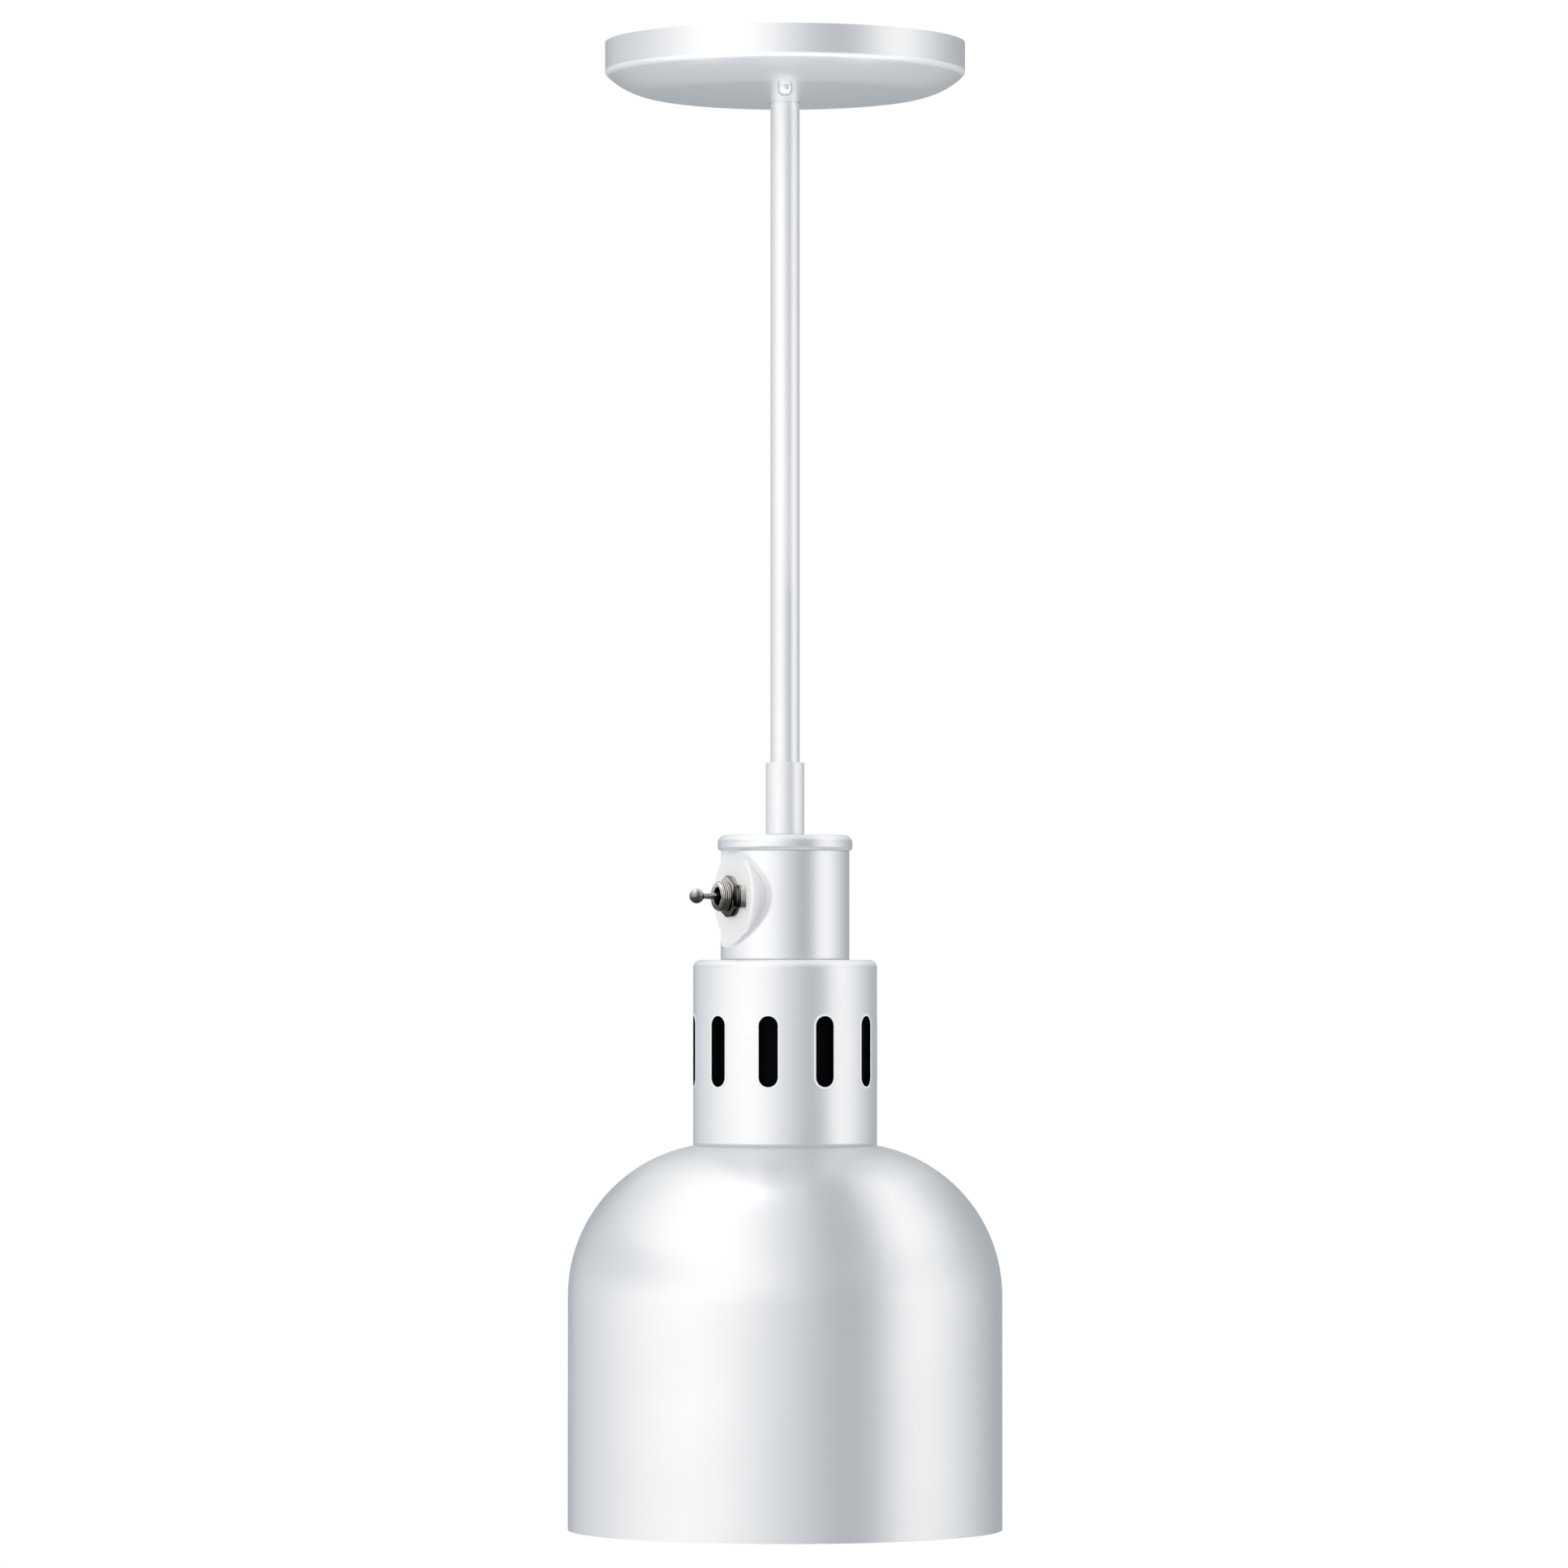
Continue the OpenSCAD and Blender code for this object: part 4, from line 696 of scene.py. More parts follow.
def on_side(tree, place):
    """Painted shade on the side of the switch's flat, strongest low down towards the front."""
    out, across, up, over = from_switch(tree, place)
    low = times(tree, span(tree, up, 0.014, -0.014, 0.35, 1.0), span(tree, across, 0.002, 0.009))
    ring = times(tree, span(tree, over, FLAT_R - 0.0021, FLAT_R - 0.0014),
                 span(tree, over, FLAT_R + 0.0008, FLAT_R - 0.0004))
    return times(tree, times(tree, ring, maths(tree, "GREATER_THAN", out, 0.0)), low)


# ---- Nickel on the switch ----


def painted_top_light(tree, up, wear, values, reach, shade_drop=0.0):
    """The nickel's colour with painted light: a painted highlight on top and painted shade
    underneath, over its random wear.
    """
    height = divided(tree, up, reach)
    uneven = plus(tree, minus(tree, height, shade_drop), times(tree, wear, 0.22))
    share = span(tree, uneven, -1.0, 1.0, smooth=False)
    return ramp(tree, share, [
        (0.0, values.nickel_shade), (0.32, scaled(values.nickel, 0.3)), (0.55, values.nickel),
        (0.8, values.nickel_highlight),
    ])


def lever_nickel(values):
    """Nickel on the toggle lever, from its thin stalk to its ball, with a painted highlight on top
    and painted shade beneath.
    """
    material, tree, shader, vector = start("lever_nickel")
    skin = use(tree, "plate", vector, Scratch=SCRATCH, Spangle=SPANGLE)
    out, _, up, _ = from_switch(tree, split(tree, vector))
    neck = BALL_OUT - BALL_R
    reach = span(tree, out, neck - 0.0003, neck + 0.0004, 0.0016, 0.0032)
    # The shade drop lowers where the painted shade gives way, so the stalk is darker.
    tint = painted_top_light(tree, up, skin["Wear"], values, reach, shade_drop=0.35)
    put(tree, tint, shader, "Base Color")
    put(tree, span(tree, skin["Dullness"], 0.25, 0.75, 0.08, 0.18), shader, "Roughness")
    bump(tree, shader, skin["Height"], strength=0.10, distance=0.00003)
    return finish_tree(material, Metallic=1.0)


def switch_nickel(values):
    """Nickel on the switch's turned parts, with painted shade in the thread, the mouth and on the
    nut's sides.
    """
    material, tree, shader, vector = start("switch_nickel")
    skin = use(tree, "plate", vector, Scratch=SCRATCH, Spangle=SPANGLE)
    out, _, up, over = from_switch(tree, split(tree, vector))
    groove = span(tree, over, values.bushing_r - 0.0001, values.bushing_r - 0.00028)
    plain = span(tree, out, values.bushing_out - 0.0009, values.bushing_out - 0.0006)
    mouth = span(tree, over, values.mouth_r + 0.0004, values.mouth_r + 0.0001)
    thread = times(tree, groove, minus(tree, 1.0, plain))
    hollow = maths(tree, "MAXIMUM", thread, mouth)
    round_nut = times(tree, maths(tree, "GREATER_THAN", over, values.nut_r - 0.0001),
                      maths(tree, "LESS_THAN", over, values.nut_r + 0.0016))
    along_nut = times(tree, span(tree, out, NUT_FOOT, NUT_FOOT + 0.0002),
                      span(tree, out, NUT_TOP, NUT_TOP - 0.0003))
    side = times(tree, round_nut, along_nut)
    # Painted shade in the thread and the mouth, and on the nut's sides.
    crevice_shade = maths(tree, "MAXIMUM", times(tree, hollow, 0.9), times(tree, side, 0.72))
    bright = painted_top_light(tree, up, skin["Wear"], values, reach=0.0066)
    put(tree, blend_colour(tree, crevice_shade, bright, rgba(values.nickel_shade)), shader, "Base Color")
    put(tree, span(tree, skin["Dullness"], 0.25, 0.75, 0.09, 0.20), shader, "Roughness")
    bump(tree, shader, skin["Height"], strength=0.14, distance=0.00003)
    return finish_tree(material, Metallic=1.0)


# ---- Modelling helpers ----

SMOOTH_ANGLE = math.radians(40.0)


def nothing():
    """Nothing is selected, as before a new primitive."""
    if bpy.context.object and bpy.context.object.mode != "OBJECT":
        bpy.ops.object.mode_set(mode="OBJECT")
    bpy.ops.object.select_all(action="DESELECT")


def only(piece):
    """Nothing else is selected, and this piece is active."""
    nothing()
    piece.select_set(True)
    bpy.context.view_layer.objects.active = piece


def named(name):
    """Names the new active piece and its mesh, and clears its materials."""
    piece = bpy.context.object
    piece.name = piece.data.name = name
    piece.data.materials.clear()
    return piece


def edit_all():
    """Edit mode on the active piece, with all of it selected."""
    bpy.ops.object.mode_set(mode="EDIT")
    bpy.ops.mesh.select_all(action="SELECT")


def pick(piece, test):
    """In edit mode, selects only the vertices whose place passes the test."""
    bpy.ops.mesh.select_mode(type="VERT")
    bpy.ops.mesh.select_all(action="DESELECT")
    mesh = bmesh.from_edit_mesh(piece.data)
    for corner in mesh.verts:
        if test(corner.co):
            corner.select_set(True)
    mesh.select_flush_mode()
    bmesh.update_edit_mesh(piece.data)


def modifier(piece, kind, **settings):
    """Adds a modifier and applies it."""
    only(piece)
    made = piece.modifiers.new(kind.lower(), kind)
    for key, value in settings.items():
        setattr(made, key, value)
    bpy.ops.object.modifier_apply(modifier=made.name)


def settle(piece):
    """Puts the piece's place into its mesh."""
    only(piece)
    bpy.ops.object.transform_apply(location=True, rotation=True, scale=True)


def finish_piece(piece, material, body):
    settle(piece)
    piece.data.materials.clear()
    piece.data.materials.append(material)
    bpy.ops.object.shade_smooth_by_angle(angle=SMOOTH_ANGLE)
    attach(piece, body)


def turned_copy(piece, name, turn):
    """A copy with its own mesh, turned about Z in its mesh."""
    made = piece.copy()
    made.data = piece.data.copy()
    made.name = made.data.name = name
    bpy.context.scene.collection.objects.link(made)
    made.data.transform(Matrix.Rotation(turn, 4, "Z"))
    return made


# ---- Camera and image points ----


def camera_ray(x, y):
    """Where the camera stands, and the way that an image point looks from it."""
    camera = bpy.context.scene.camera
    data = camera.data
    bpy.context.view_layer.update()
    way = Vector((
        x - W / 2 + data.shift_x * LONG,
        H / 2 - y + data.shift_y * LONG,
        -LONG * data.lens / data.sensor_width,
    ))
    place = camera.matrix_world.translation.copy()
    return place, (camera.matrix_world.to_3x3() @ way).normalized()


def surface(*objects):
    """One tree of the triangles of these objects, as finished and placed."""
    graph = bpy.context.evaluated_depsgraph_get()
    points, faces = [], []
    for piece in objects:
        held = piece.evaluated_get(graph)
        mesh = held.to_mesh()
        mesh.calc_loop_triangles()
        first = len(points)
        points += [piece.matrix_world @ v.co for v in mesh.vertices]
        faces += [tuple(first + i for i in t.vertices) for t in mesh.loop_triangles]
        held.to_mesh_clear()
    return BVHTree.FromPolygons(points, faces)


def spot(name, *carriers):
    """The place and the normal where an image point meets what carries the piece."""
    origin, way = camera_ray(*POINTS[name])
    tree = surface(*carriers)
    place, normal, _, _ = tree.ray_cast(origin, way)
    if place is None:
        along = Vector((0.0, 0.0, SWITCH_Z)) - origin
        place, normal, _, _ = tree.find_nearest(origin + way * along.dot(way))
    return place, normal


def shown_at(place):
    """Where a place shows, in the image's pixels."""
    camera = bpy.context.scene.camera
    data = camera.data
    seen = camera.matrix_world.inverted() @ place
    by = LONG * data.lens / data.sensor_width / -seen.z
    return Vector((
        seen.x * by + W / 2 - data.shift_x * LONG,
        H / 2 - seen.y * by + data.shift_y * LONG,
    ))


SENSOR_WIDTH = 36.0  # in millimetres
CLIP_START, CLIP_END = 0.05, 60.0


class HEATLAMP_OT_camera(bpy.types.Operator):
    """Adds the camera at the photograph's angle"""

    bl_idname = "heat_lamp.camera"
    bl_label = "Camera"

    def execute(self, context):
        values = context.scene.heat_lamp_camera
        nothing()
        bpy.ops.object.camera_add(location=(0.0, -values.distance, values.height))
        camera = context.object
        camera.name = "photo_camera"
        data = camera.data
        data.sensor_fit = "AUTO"
        data.sensor_width = SENSOR_WIDTH
        data.lens = values.lens
        data.shift_x = data.shift_y = 0.0
        data.clip_start, data.clip_end = CLIP_START, CLIP_END
        aim = Vector((values.aim_x, 0.0, values.aim_z)) - camera.location
        camera.rotation_mode = "QUATERNION"
        camera.rotation_quaternion = aim.to_track_quat("-Z", "Y")
        context.scene.camera = camera
        return {"FINISHED"}


# ---- Stage ----

# How bright the studio's dome is, by twice the turn of the upright wall that mirrors it to the
# front: left is negative. The canopy and the stem mirror the second list, and the rest the first.
WALL_LOW = [
    (-180, 0.43), (-160, 0.51), (-136, 0.64), (-109, 0.85), (-89, 1.05), (-71, 1.21), (-56, 1.28),
    (-41, 1.26), (-27, 1.13), (-14, 0.96), (0, 0.76), (13, 0.60), (24, 0.41), (33, 0.32),
    (41, 0.38), (50, 0.61), (60, 0.97), (72, 1.18), (88, 1.05), (108, 0.76), (125, 0.54),
    (140, 0.38), (160, 0.33), (180, 0.36),
]
WALL_HIGH = [
    (-180, 0.40), (-160, 0.49), (-140, 0.55), (-119, 0.64), (-96, 0.71), (-77, 0.84), (-60, 0.99),
    (-44, 1.11), (-30, 1.13), (-15, 1.08), (-3, 0.91), (8, 0.69), (20, 0.50), (31, 0.42),
    (41, 0.45), (52, 0.64), (64, 0.92), (76, 1.01), (92, 0.88), (108, 0.64), (125, 0.47),
    (148, 0.38), (180, 0.38),
]
WALL_TOP = 1.5  # the brightest that the curve through the stops can hold

# Where the studio's other pieces stand and how large they are, in metres.
FLOOR_SIZE = 40.0
CREASE_RING_Z, CREASE_RING_R, CREASE_RING_WIDTH, CREASE_RING_END = -0.22, 0.9, 0.78, -0.02
HIGHLIGHT_WAY, HIGHLIGHT_FAR, HIGHLIGHT_R = Vector((-0.23, -0.05, 0.97)), 3.5, 0.52
LAMP_AIM = Vector((0, 0, -0.35))
KEY_PLACE, KEY_SIZE = (-1.9, -2.1, 0.5), 1.8
FILL_PLACE, FILL_SIZE = (2.2, -1.4, 0.2), 2.0
STAGE_PIECES = ("floor", "studio_dome", "crease_card", "highlight_card")


def around_level(tree, share, stops):
    """The dome's brightness at a share of a full turn, on a smooth curve through the stops."""
    made = add(tree, "ShaderNodeFloatCurve", {"Value": share})
    points = made.mapping.curves[0].points
    while len(points) < len(stops):
        points.new(0.5, 0.5)
    for point, (turn, bright) in zip(points, stops):
        point.location = ((turn + 180) / 360, bright / WALL_TOP)
        point.handle_type = "AUTO"
    made.mapping.update()
    return times(tree, made.outputs[0], WALL_TOP)


def glossy_only(piece):
    """Only reflections see this piece of the studio."""
    piece.visible_camera = piece.visible_diffuse = piece.visible_transmission = False
    piece.visible_volume_scatter = piece.visible_shadow = False


def paper(name, level):
    """White paper that glows at a level, from its front alone."""
    material, tree = blank(name)
    back = tree.nodes.new("ShaderNodeNewGeometry").outputs["Backfacing"]
    clear = tree.nodes.new("ShaderNodeBsdfTransparent").outputs[0]
    show(tree, mix_shaders(tree, back, glow(tree, WHITE, level), clear))
    return material


class HEATLAMP_OT_stage(bpy.types.Operator):
    """Adds the pale floor, the reflecting dome and cards, the lamps and the plain light"""

    bl_idname = "heat_lamp.stage"
    bl_label = "Stage"

    def execute(self, context):
        values = context.scene.heat_lamp_stage
        self.floor(values)
        self.dome(values)
        self.crease_card(values)
        self.highlight_card(values)
        self.lamp("key_lamp", KEY_PLACE, KEY_SIZE, values.key)
        self.lamp("fill_lamp", FILL_PLACE, FILL_SIZE, values.fill)
        self.world(context, values)
        context.scene.view_settings.view_transform = "Standard"
        return {"FINISHED"}

    def floor(self, values):
        """A floor that is white to the camera and pale to the lamp, and open from below."""
        nothing()
        bpy.ops.mesh.primitive_grid_add(
            x_subdivisions=8, y_subdivisions=8, size=FLOOR_SIZE, location=(0, 0, values.floor_z)
        )
        floor = named("floor")
        settle(floor)
        material, tree = blank("pale_floor")
        vector = tree.nodes.new("ShaderNodeTexCoord").outputs["Object"]
        away = from_axis(tree, split(tree, vector))
        tint = blend_colour(tree, noise(tree, vector, 6.0, 3.0), rgba(values.floor_tint),
                            rgba(scaled(values.floor_tint, 1.02)))
        shown = add(tree, "ShaderNodeBsdfDiffuse", {"Color": WHITE}).outputs[0]
        lit = add(tree, "ShaderNodeBsdfDiffuse", {"Color": tint}).outputs[0]
        mirrored = glow(tree, ramp(tree, span(tree, away, 0.0, 4.0, smooth=False), [
            (0.0, (0.58, 0.62, 0.65)), (0.5, (0.50, 0.535, 0.56)), (1.0, (0.36, 0.385, 0.405)),
        ]), 1.0)
        path = tree.nodes.new("ShaderNodeLightPath").outputs
        seen = mix_shaders(tree, span(tree, away, 1.0, 2.6), shown, glow(tree, WHITE, 1.0))
        other = mix_shaders(tree, path["Is Glossy Ray"], lit, mirrored)
        mixed = mix_shaders(tree, path["Is Camera Ray"], other, seen)
        under = tree.nodes.new("ShaderNodeNewGeometry").outputs["Backfacing"]
        clear = tree.nodes.new("ShaderNodeBsdfTransparent").outputs[0]
        show(tree, mix_shaders(tree, under, mixed, clear))
        floor.data.materials.append(material)

    def dome(self, values):
        """A dome that only reflections see, as soft as a studio's paper."""
        nothing()
        middle = (CANOPY_HI.z + SHADE_LO.z) / 2
        bpy.ops.mesh.primitive_uv_sphere_add(segments=64, ring_count=32, radius=values.wall_r)
        dome = named("studio_dome")
        edit_all()
        bpy.ops.mesh.flip_normals()
        bpy.ops.transform.translate(value=(0.0, 0.0, middle))
        bpy.ops.object.mode_set(mode="OBJECT")
        settle(dome)
        material, tree = blank("studio_paper")
        place = split(tree, tree.nodes.new("ShaderNodeTexCoord").outputs["Object"])
        front = minus(tree, values.wall_r, place[1])
        turn = maths(tree, "ARCTAN2", place[0], front)
        share = plus(tree, divided(tree, turn, math.pi), 0.5)
        height = minus(tree, place[2], middle)
        rise = times(tree, span(tree, height, -0.3, 0.85), span(tree, height, 0.9, 2.2, 1.0, 0.25))
        low = times(tree, around_level(tree, share, WALL_LOW), minus(tree, 1.0, rise))
        high = times(tree, around_level(tree, share, WALL_HIGH), rise)
        bright = plus(tree, low, high)
        steep = maths(tree, "ARCTAN2", height, front)
        over = span(tree, steep, math.radians(60), math.radians(78))
        behind = span(tree, front, values.wall_r * 0.22, values.wall_r * 0.06)
        for mask, level in ((over, values.top), (behind, values.back)):
            bright = times(tree, bright, minus(tree, 1.0, mask))
            bright = plus(tree, bright, times(tree, mask, level))
        tint = ramp(tree, bright, [
            (0.45, (0.87, 0.94, 1.0)), (0.85, (0.965, 0.985, 1.0)), (1.0, (1.0, 1.0, 1.0)),
        ])
        show(tree, glow(tree, tint, bright))
        dome.data.materials.append(material)
        glossy_only(dome)

    def crease_card(self, values):
        """A half ring of paper, open to the back, that lights the canopy's crease."""
        nothing()
        bpy.ops.mesh.primitive_circle_add(
            vertices=64, radius=CREASE_RING_R, fill_type="NGON", location=(0, 0, CREASE_RING_Z)
        )
        ring = named("crease_card")
        edit_all()
        bpy.ops.mesh.inset(thickness=CREASE_RING_WIDTH)
        bpy.ops.mesh.delete(type="FACE")
        bpy.ops.mesh.select_all(action="SELECT")
        bpy.ops.mesh.bisect(
            plane_co=(0, CREASE_RING_END, CREASE_RING_Z), plane_no=(0, 1, 0), clear_outer=True
        )
        bpy.ops.object.mode_set(mode="OBJECT")
        settle(ring)
        ring.data.materials.append(paper("crease_paper", values.crease))
        glossy_only(ring)

    def highlight_card(self, values):
        """A round card up on the left, for the highlight on the shade's shoulder."""
        nothing()
        bpy.ops.mesh.primitive_circle_add(
            vertices=32, radius=HIGHLIGHT_R, fill_type="NGON",
            location=HIGHLIGHT_WAY * HIGHLIGHT_FAR,
        )
        card = named("highlight_card")
        card.rotation_mode = "QUATERNION"
        card.rotation_quaternion = (-HIGHLIGHT_WAY).to_track_quat("Z", "Y")
        edit_all()
        bpy.ops.mesh.inset(thickness=HIGHLIGHT_R * 0.1)
        bpy.ops.object.mode_set(mode="OBJECT")
        settle(card)
        card.data.materials.append(paper("highlight_card_paper", values.highlight))
        glossy_only(card)

    def lamp(self, name, place, size, energy):
        """A square soft lamp that looks at the object, and that nothing mirrors."""
        nothing()
        bpy.ops.object.light_add(type="AREA", location=place)
        lamp = bpy.context.object
        lamp.name = name
        lamp.data.shape = "SQUARE"
        lamp.data.size = size
        lamp.data.energy = energy
        lamp.visible_glossy = False
        lamp.rotation_mode = "QUATERNION"
        lamp.rotation_quaternion = (LAMP_AIM - Vector(place)).to_track_quat("-Z", "Y")

    def world(self, context, values):
        """White to the camera and in reflections, and a plain soft light on the lamp."""
        world = bpy.data.worlds.new("plain_light")
        world.use_nodes = True
        tree = world.node_tree
        tree.nodes.clear()
        path = tree.nodes.new("ShaderNodeLightPath").outputs
        mirrored = maths(tree, "MAXIMUM", path["Is Glossy Ray"], path["Is Transmission Ray"])
        seen = maths(tree, "MAXIMUM", path["Is Camera Ray"], mirrored)
        level = span(tree, seen, 0.0, 1.0, values.ambient, 1.0, smooth=False)
        back = add(tree, "ShaderNodeBackground", {"Color": WHITE, "Strength": level}).outputs[0]
        show(tree, back, "ShaderNodeOutputWorld")
        context.scene.world = world


# ---- Finishes ----


class HEATLAMP_OT_enamel(bpy.types.Operator):
    """Paints the shells and the stem with silver enamel, with painted highlights and painted shade
    """

    bl_idname = "heat_lamp.enamel"
    bl_label = "Silver enamel"

    def execute(self, context):
        values = context.scene.heat_lamp_enamel
        metal = values.metal
        # Dust dulls the top of the shade's shoulder, and painted shade darkens it.
        dust_and_shade = Patch(
            where=above(SHADE_HI.z - 0.003, 0.014), tint=values.dust_and_shade_tint,
            dullness=values.roughness + values.dust_and_shade, metal=metal, coat=values.coat,
        )
        bare = Patch(
            where=inside(SHADE_LO.z + 0.06, SHADE_R - 0.0007), tint=values.inside_tint,
            dullness=values.roughness + 0.12, metal=0.9, coat=0.0,
        )
        # Painted shade: the sleeve's inside and the slots' cut walls are black.
        black = Patch(
            where=inside(SLEEVE_HI.z - 0.006, SLEEVE_R - 0.0001), tint=values.sleeve_inside_shade,
            dullness=0.6, metal=1.0, coat=0.0,
        )
        # Painted highlights along the canopy's crease and the top edges of the cap and the sleeve.
        crease = self.painted_edge_highlight(values, on_crease, 0.2)
        cap_rim = self.painted_edge_highlight(values, above(CAP_HI.z - 0.0012, 0.0014), 0.3)
        sleeve_rim = self.painted_edge_highlight(values, above(SLEEVE_HI.z - 0.0011, 0.0020), 0.15)
        # Painted shade along the feet of the coupling, the housing and the sleeve.
        coupling_foot = self.joint(CAP_HI.z, values.joint_shade_tint)
        housing_foot = self.joint(SLEEVE_HI.z, values.joint_shade_tint)
        sleeve_foot = self.joint(SHADE_HI.z, values.side_shade_tint)
        # The switch's flat: thicker, less metallic enamel, paler with a painted highlight.
        flat = Patch(
            where=on_flat, tint=values.highlight_enamel_tint, dullness=0.5, metal=values.flat_metal, coat=0.0
        )
        # Painted shade on the flat's side.
        side = flat._replace(where=on_side, tint=values.side_shade_tint)
        for part, node, share, lines, patches in (
            ("_canopy", "canopy", metal, 1.0, [crease]),
            ("", "canopy_cap_nuts", metal, 1.0, []),
            ("_cap", "housing_cap", metal, 1.0, [cap_rim]),
            ("_stem", "stem_tube", values.stem_metal, 2.0, []),
            ("_coupling", "stem_coupling", values.coupling_metal, 1.0, [coupling_foot]),
            ("_shade", "shade", metal, 1.0, [dust_and_shade, bare]),
            ("_sleeve", "vent_sleeve", values.sleeve_metal, 1.0, [sleeve_rim, sleeve_foot, black]),
            ("_housing", "switch_housing", metal, 1.0, [flat, side, housing_foot]),
        ):
            name = "silver_enamel" + part
            give(enamel(name, values, share, lines=lines, patches=patches), node)
        return {"FINISHED"}

    def painted_edge_highlight(self, values, where, more_metal):
        """A painted highlight along an edge: pale enamel, less metallic than the rest."""
        return Patch(
            where=where, tint=values.highlight_enamel_tint, dullness=0.35,
            metal=values.flat_metal + more_metal, coat=values.coat,
        )

    def joint(self, height, tint):
        """A thin line of painted shade where one shell stands on another."""
        return Patch(
            where=below(height + 0.0001, 0.0006), tint=tint, dullness=0.5, metal=0.3, coat=0.0
        )


class HEATLAMP_OT_metals(bpy.types.Operator):
    """Plates the fasteners, the switch and the contacts, with painted light on the switch's nickel
    """

    bl_idname = "heat_lamp.metals"
    bl_label = "Plated metals"

    def execute(self, context):
        values = context.scene.heat_lamp_metal
        nickel = plated(
            "warm_nickel", values.nickel, scaled(values.nickel, 0.8), 0.09, strength=0.10
        )
        give(nickel, "switch_frame", "toggle_pivot_pin")
        give(lever_nickel(values), "toggle_lever")
        give(switch_nickel(values), "switch_bushing", "switch_lock_ring", "switch_tab_washer",
             "switch_hex_nut")
        zinc = plated("bright_zinc", values.zinc, (0.55, 0.575, 0.60), 0.30, spangle=0.0045)
        give(zinc, "mounting_plate", "canopy_studs", "stem_top_nut", "stem_top_washer",
             "stem_jam_nut", "housing_nipple", "cap_lock_washer", "cap_lock_nut",
             "housing_base_ring", "sleeve_base_ring", "socket_bracket", "bracket_screws",
             "socket_screws", "socket_terminal_screws", "shade_screws")
        green = plated(
            "green_zinc", values.green, scaled(values.green, 0.6), 0.30, metallic=0.85
        )
        give(green, "plate_ground_screw", "housing_ground_screw")
        brass = plated("plain_brass", values.brass, values.tarnish, 0.27, spangle=0.006)
        give(brass, "switch_common_terminal", "switch_load_terminal", "contact_rocker",
             "socket_screw_shell", "socket_centre_contact", "socket_shell_strap")
        cap = plated("lamp_cap_nickel", values.cap, scaled(values.cap, 0.8), 0.25)
        give(cap, "lamp_base_shell", "lamp_base_contact")
        wire = plated(
            "drawn_tungsten", values.tungsten, scaled(values.tungsten, 0.7), 0.38, scratch=0.0002
        )
        give(wire, "lamp_filament", "lamp_support_wires")
        return {"FINISHED"}


class HEATLAMP_OT_bodies(bpy.types.Operator):
    """Finishes the heat shield, the porcelain, the moulding and the lamp's glass"""

    bl_idname = "heat_lamp.bodies"
    bl_label = "Bodies and glass"

    def execute(self, context):
        values = context.scene.heat_lamp_body
        black = body_material(
            "matt_black", values.shield, scaled(values.shield, 2.0), scaled(values.shield, 1.6),
            roughness=0.55, grain=0.0007, density=0.12, strength=0.35, Specular_IOR_Level=0.02,
        )
        give(black, "heat_shield")
        glaze = body_material(
            "glazed_porcelain", values.porcelain, (0.60, 0.55, 0.46),
            scaled(values.porcelain, 0.95), roughness=0.14, grain=0.0011, density=0.055,
            strength=0.10, Coat_Weight=0.5, Coat_Roughness=0.06,
        )
        give(glaze, "socket_body")
        brown = body_material(
            "phenolic", values.phenolic, (0.16, 0.10, 0.06), scaled(values.phenolic, 1.5),
            roughness=0.38, grain=0.0006, density=0.10, strength=0.25,
        )
        give(brown, "switch_body")
        vitrite = body_material(
            "vitrite", values.vitrite, (0.03, 0.025, 0.04), scaled(values.vitrite, 1.8),
            roughness=0.10, grain=0.0005, density=0.06, strength=0.15,
        )
        give(vitrite, "lamp_base_insulator")
        mirror = plated(
            "lamp_silvering", values.silvering, scaled(values.silvering, 0.94), 0.09,
            scratch=0.0006, spangle=0.004, strength=0.05,
        )
        give(mirror, "lamp_reflector_coating")
        give(self.glass(values, "lamp_glass", frosted=True), "lamp_envelope")
        give(self.glass(values, "mount_glass", frosted=False), "lamp_mount")
        return {"FINISHED"}

    def glass(self, values, name, frosted):
        """Hard clear glass, with a stippled face when frosted."""
        material, tree, shader, vector = start(name)
        skin = use(tree, "speckle", vector, Grain=values.frost, Density=0.05)
        dull = span(tree, skin["Cloud"], 0.3, 0.7, 0.015, 0.035)
        tint = rgba(values.glass)
        if frosted:
            stipple = add(
                tree, "ShaderNodeTexVoronoi", {"Vector": vector, "Scale": 1.0 / values.frost},
                feature="SMOOTH_F1",
            ).outputs["Distance"]
            face = span(tree, split(tree, vector)[2], GLASS_LO.z + 0.026, GLASS_LO.z + 0.012)
            tint = blend_colour(tree, face, tint, rgba(scaled(values.glass, 0.97)))
            dull = plus(tree, dull, times(tree, face, 0.28))
            height = plus(tree, times(tree, stipple, face), times(tree, skin["Cloud"], 0.05))
            bump(tree, shader, height, strength=0.5, distance=0.0003)
        put(tree, tint, shader, "Base Color")
        put(tree, dull, shader, "Roughness")
        return finish_tree(material, IOR=1.47, Transmission_Weight=1.0)


